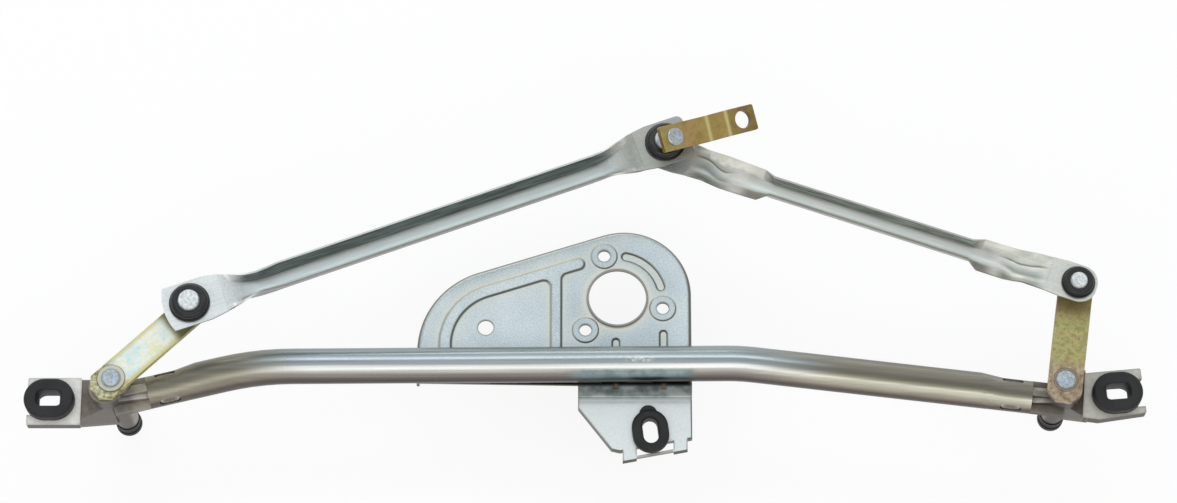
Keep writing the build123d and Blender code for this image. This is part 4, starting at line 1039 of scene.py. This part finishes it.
def ripple_row(shape, low, high, rng):
    """Overlapping flattened balls, their upper halves in the box of one pair of beads."""
    step = (high.x - low.x) / crescents
    for index in range(crescents):
        centre = Vector((low.x + step * (index + 0.5), (low.y + high.y) / 2, low.z))
        height = (high.z - low.z) * rng.uniform(*crescent_heights)
        size = Vector((step * crescent_reach, (high.y - low.y) / 2, height))
        place = Matrix.Translation(centre) @ Matrix.Diagonal((*size, 1))
        bmesh.ops.create_uvsphere(shape, u_segments=14, v_segments=8, radius=1, matrix=place)


rng = random.Random(7)
ripples = bmesh.new()
for low, high in bead_pairs:
    ripple_row(ripples, low + bead_end, high - bead_end, rng)
weld_mesh = bpy.data.meshes.new("weld_ripples")
ripples.to_mesh(weld_mesh)
ripples.free()
weld_mesh.polygons.foreach_set("use_smooth", [True] * len(weld_mesh.polygons))
print("faces of the welds:", len(weld_mesh.polygons))

# %% Weld metal, and the welds in place
weld_metal = new_finish("weld metal", (120, 112, 104), 0.8, 0.36)
heat_stops = [(0.3, (92, 92, 104)), (0.5, (140, 132, 124)), (0.7, (150, 122, 88))]
feed(weld_metal, "Base Color", ramp(weld_metal, noise(weld_metal, 130, 4), heat_stops))
relief(weld_metal, [noise(weld_metal, 1500, 4)], [0.03])
weld_mesh.materials.append(weld_metal)
wear(weld_metal, "plate_welds")
weld_ripples = bpy.data.objects.new("weld_ripples", weld_mesh)
bpy.context.scene.collection.objects.link(weld_ripples)
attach(weld_ripples, "frame")
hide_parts("plate_welds")
print("placed:", weld_ripples.name)

# %% [markdown]
# ## Threads and serrations
# The free end of each wiper shaft carries a thread for the nut, and above it a serrated
# cone that grips the wiper arm. The thread is one ridge wound around the shaft, made by
# stepping around the axis and lifting a small section as it goes. The serrations are many
# thin ridges laid along the cone. A bump would not show in the outline of so thin a shaft,
# so both are real meshes.
# %% Thread
thread_pitch = 0.00125
thread_radius = 0.004
thread_height = 0.0003
sunk = 0.0001
root_half, crest_half = 0.42, 0.06
steps_per_turn = 28


def thread_ridge(axis, low, high):
    """Ridge of flat-topped section wound around an upright axis."""
    shape = bmesh.new()
    steps = (int((high - low) / thread_pitch) - 1) * steps_per_turn
    root = thread_radius - sunk
    previous = None
    for index in range(steps + 1):
        angle = 2 * math.pi * index / steps_per_turn
        height = low + thread_pitch * (0.5 + index / steps_per_turn)
        out = Vector((math.cos(angle), math.sin(angle), 0))
        turns_to_end = min(index, steps - index) / steps_per_turn
        crest = thread_radius + thread_height * min(1, turns_to_end * 2)
        base = axis + Vector((0, 0, height))
        profile = ((root, -root_half), (crest, -crest_half), (crest, crest_half), (root, root_half))
        section = [
            shape.verts.new(base + out * radius + Vector((0, 0, thread_pitch * share)))
            for radius, share in profile
        ]
        if previous:
            for a in range(3):
                shape.faces.new((previous[a], section[a], section[a + 1], previous[a + 1]))
        previous = section
    return shape


print("thread: pitch", thread_pitch * 1000, "mm")

# %% Serrated cone
cone_length = 0.006
journal_radius = 0.005
ridge_count = 40
ridge_depth = 0.0003
ridge_fill = 0.8
crest_lift = 0.0001
cone_ends = ((0.06, thread_radius + ridge_depth), (0.92, journal_radius))


def serrations(shape, axis, low):
    """Thin ridges along a cone from the thread up to the journal."""
    for index in range(ridge_count):
        angle = 2 * math.pi * index / ridge_count
        out = Vector((math.cos(angle), math.sin(angle), 0))
        side = Vector((-math.sin(angle), math.cos(angle), 0))
        corners = []
        for share, radius in cone_ends:
            base = axis + Vector((0, 0, low + cone_length * share))
            half = radius * math.pi / ridge_count * ridge_fill
            inner = radius - ridge_depth
            crest = radius + crest_lift * (1 - share)
            corners.append(
                [
                    shape.verts.new(base + out * inner - side * half),
                    shape.verts.new(base + out * crest),
                    shape.verts.new(base + out * inner + side * half),
                ]
            )
        first, second = corners
        for a in range(2):
            shape.faces.new((first[a], first[a + 1], second[a + 1], second[a]))


print("serrations:", ridge_count)

# %% Threaded ends on both shafts
plain_tip = 0.0008
thread_top = 0.008
thread_steel = turned_steel("cut thread steel", (170, 174, 176), Vector((0, 0, 0)), 0.32, 400)
for side, body in (("left", "left_arm"), ("right", "right_arm")):
    axis = shaft_axis(side)
    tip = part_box(side + "_wiper_shaft")[0].z
    shape = thread_ridge(axis, tip + plain_tip, tip + thread_top)
    serrations(shape, axis, tip + thread_top)
    bmesh.ops.recalc_face_normals(shape, faces=shape.faces)
    mesh = bpy.data.meshes.new(side + "_shaft_thread")
    shape.to_mesh(mesh)
    shape.free()
    mesh.materials.append(thread_steel)
    thread = bpy.data.objects.new(side + "_shaft_thread", mesh)
    bpy.context.scene.collection.objects.link(thread)
    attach(thread, body)
    print(thread.name, "faces:", len(mesh.polygons))

# %% [markdown]
# ## Floor
# A catalogue picture has a white ground. The floor is a large plain sheet that shows mostly
# its own white to the camera, and with it part of its real shading, so that the shadow
# stays. Bright metal mirrors that white too. To every other ray it is an ordinary pale floor,
# so it lights the underside of the linkage no more than paper would.
# %% Floor
floor_gap = 0.0004
floor_height = cad_box[0].z - floor_gap
floor_reach = 6.0
directions = ((-1, -1), (1, -1), (1, 1), (-1, 1))
corners = [(x * floor_reach, y * floor_reach, floor_height) for x, y in directions]
floor_mesh = bpy.data.meshes.new("floor")
floor_mesh.from_pydata(corners, [], [(0, 1, 2, 3)])
floor = bpy.data.objects.new("floor", floor_mesh)
bpy.context.scene.collection.objects.link(floor)
print("floor at", round(floor_height * 1000, 1), "mm")

# %% White floor finish
shading_share = 0.2
paper = bpy.data.materials.new("white floor")
paper.use_nodes = True
paper_shader = shader_of(paper)
paper_shader.inputs["Base Color"].default_value = (0.96, 0.96, 0.96, 1)
paper_shader.inputs["Roughness"].default_value = 0.9
white = add(paper, "ShaderNodeEmission", Strength=1.04)
seen = add(paper, "ShaderNodeMixShader", Fac=shading_share)
join(paper, white.outputs["Emission"], seen.inputs[1])
join(paper, paper_shader.outputs["BSDF"], seen.inputs[2])
rays = add(paper, "ShaderNodeLightPath")
direct = calculate(paper, "MAXIMUM", rays.outputs["Is Camera Ray"], rays.outputs["Is Glossy Ray"])
direct = calculate(paper, "MAXIMUM", direct, rays.outputs["Is Transmission Ray"])
choose = add(paper, "ShaderNodeMixShader")
join(paper, direct, choose.inputs["Fac"])
join(paper, paper_shader.outputs["BSDF"], choose.inputs[1])
join(paper, seen.outputs["Shader"], choose.inputs[2])
join(paper, choose.outputs["Shader"], paper.node_tree.nodes["Material Output"].inputs["Surface"])
floor_mesh.materials.append(paper)
print("finish:", paper.name)

# %% [markdown]
# ## Sky and lamps
# The light is soft and comes from above. The sky is pale all round, cool behind the linkage
# and browner in front of it, which is what the two flanks of the tube mirror. A narrow strip
# lamp draws the white line along the tube, a broad softbox above the camera fills the rest,
# and a low, warm lamp behind gives the far edges their shine.
# %% Sky
world = bpy.data.worlds.new("studio sky")
bpy.context.scene.world = world
world.use_nodes = True
where = add(world, "ShaderNodeTexCoord")
split = add(world, "ShaderNodeSeparateXYZ")
join(world, where.outputs["Generated"], split.inputs["Vector"])
front_to_back = levels(world, split.outputs["Y"], -1.0, 1.0, even=True)
sky_stops = [
    (0.0, (186, 180, 176)),
    (0.3, (206, 205, 203)),
    (0.6, (214, 219, 222)),
    (0.85, (204, 214, 222)),
    (1.0, (226, 222, 212)),
]
sky = world.node_tree.nodes["Background"]
join(world, ramp(world, front_to_back, sky_stops), sky.inputs["Color"])
sky.inputs["Strength"].default_value = 0.95
print("sky ready, stops:", len(sky_stops))

# %% Lamps
middle = (cad_box[0] + cad_box[1]) / 2


def soft_lamp(name, place, size, watts, colour):
    """A rectangular lamp that shines at the middle of the linkage."""
    data = bpy.data.lights.new(name, "AREA")
    data.shape = "RECTANGLE"
    data.size, data.size_y = size
    data.energy = watts
    data.color = colour
    lamp = bpy.data.objects.new(name, data)
    lamp.location = place
    lamp.rotation_euler = (middle - Vector(place)).to_track_quat("-Z", "Y").to_euler()
    bpy.context.scene.collection.objects.link(lamp)
    print(name, watts, "W")


soft_lamp("strip lamp", (-0.1, 0.95, 1.95), (3.0, 0.3), 4.0, (1.0, 1.0, 1.0))
soft_lamp("front softbox", (0.0, -1.3, 2.1), (3.0, 1.2), 13, (1.0, 0.995, 0.98))
soft_lamp("back lamp", (-0.6, 1.9, 0.8), (1.6, 0.5), 5, (1.0, 0.94, 0.85))

# %% [markdown]
# ## Camera
# The picture was taken from almost straight above the linkage, twenty degrees off, with a
# long lens. The lens length in pixels and the distance come from lines that should be parallel.
# %% Camera
picture_width = 1177
lens_pixels = 3500
sensor = 36.0
view_tilt = math.radians(20)
distance = 2.45
target = Vector((-0.02047, 0.02183, 0.037))
camera_data = bpy.data.cameras.new("camera")
camera_data.sensor_width = sensor
camera_data.lens = lens_pixels / picture_width * sensor
camera = bpy.data.objects.new("camera", camera_data)
camera.location = target + distance * Vector((0, -math.sin(view_tilt), math.cos(view_tilt)))
camera.rotation_euler = (view_tilt, 0, 0)
bpy.context.scene.collection.objects.link(camera)
bpy.context.scene.camera = camera
bpy.context.scene.view_settings.view_transform = "Standard"
print("lens mm:", round(camera_data.lens, 2))
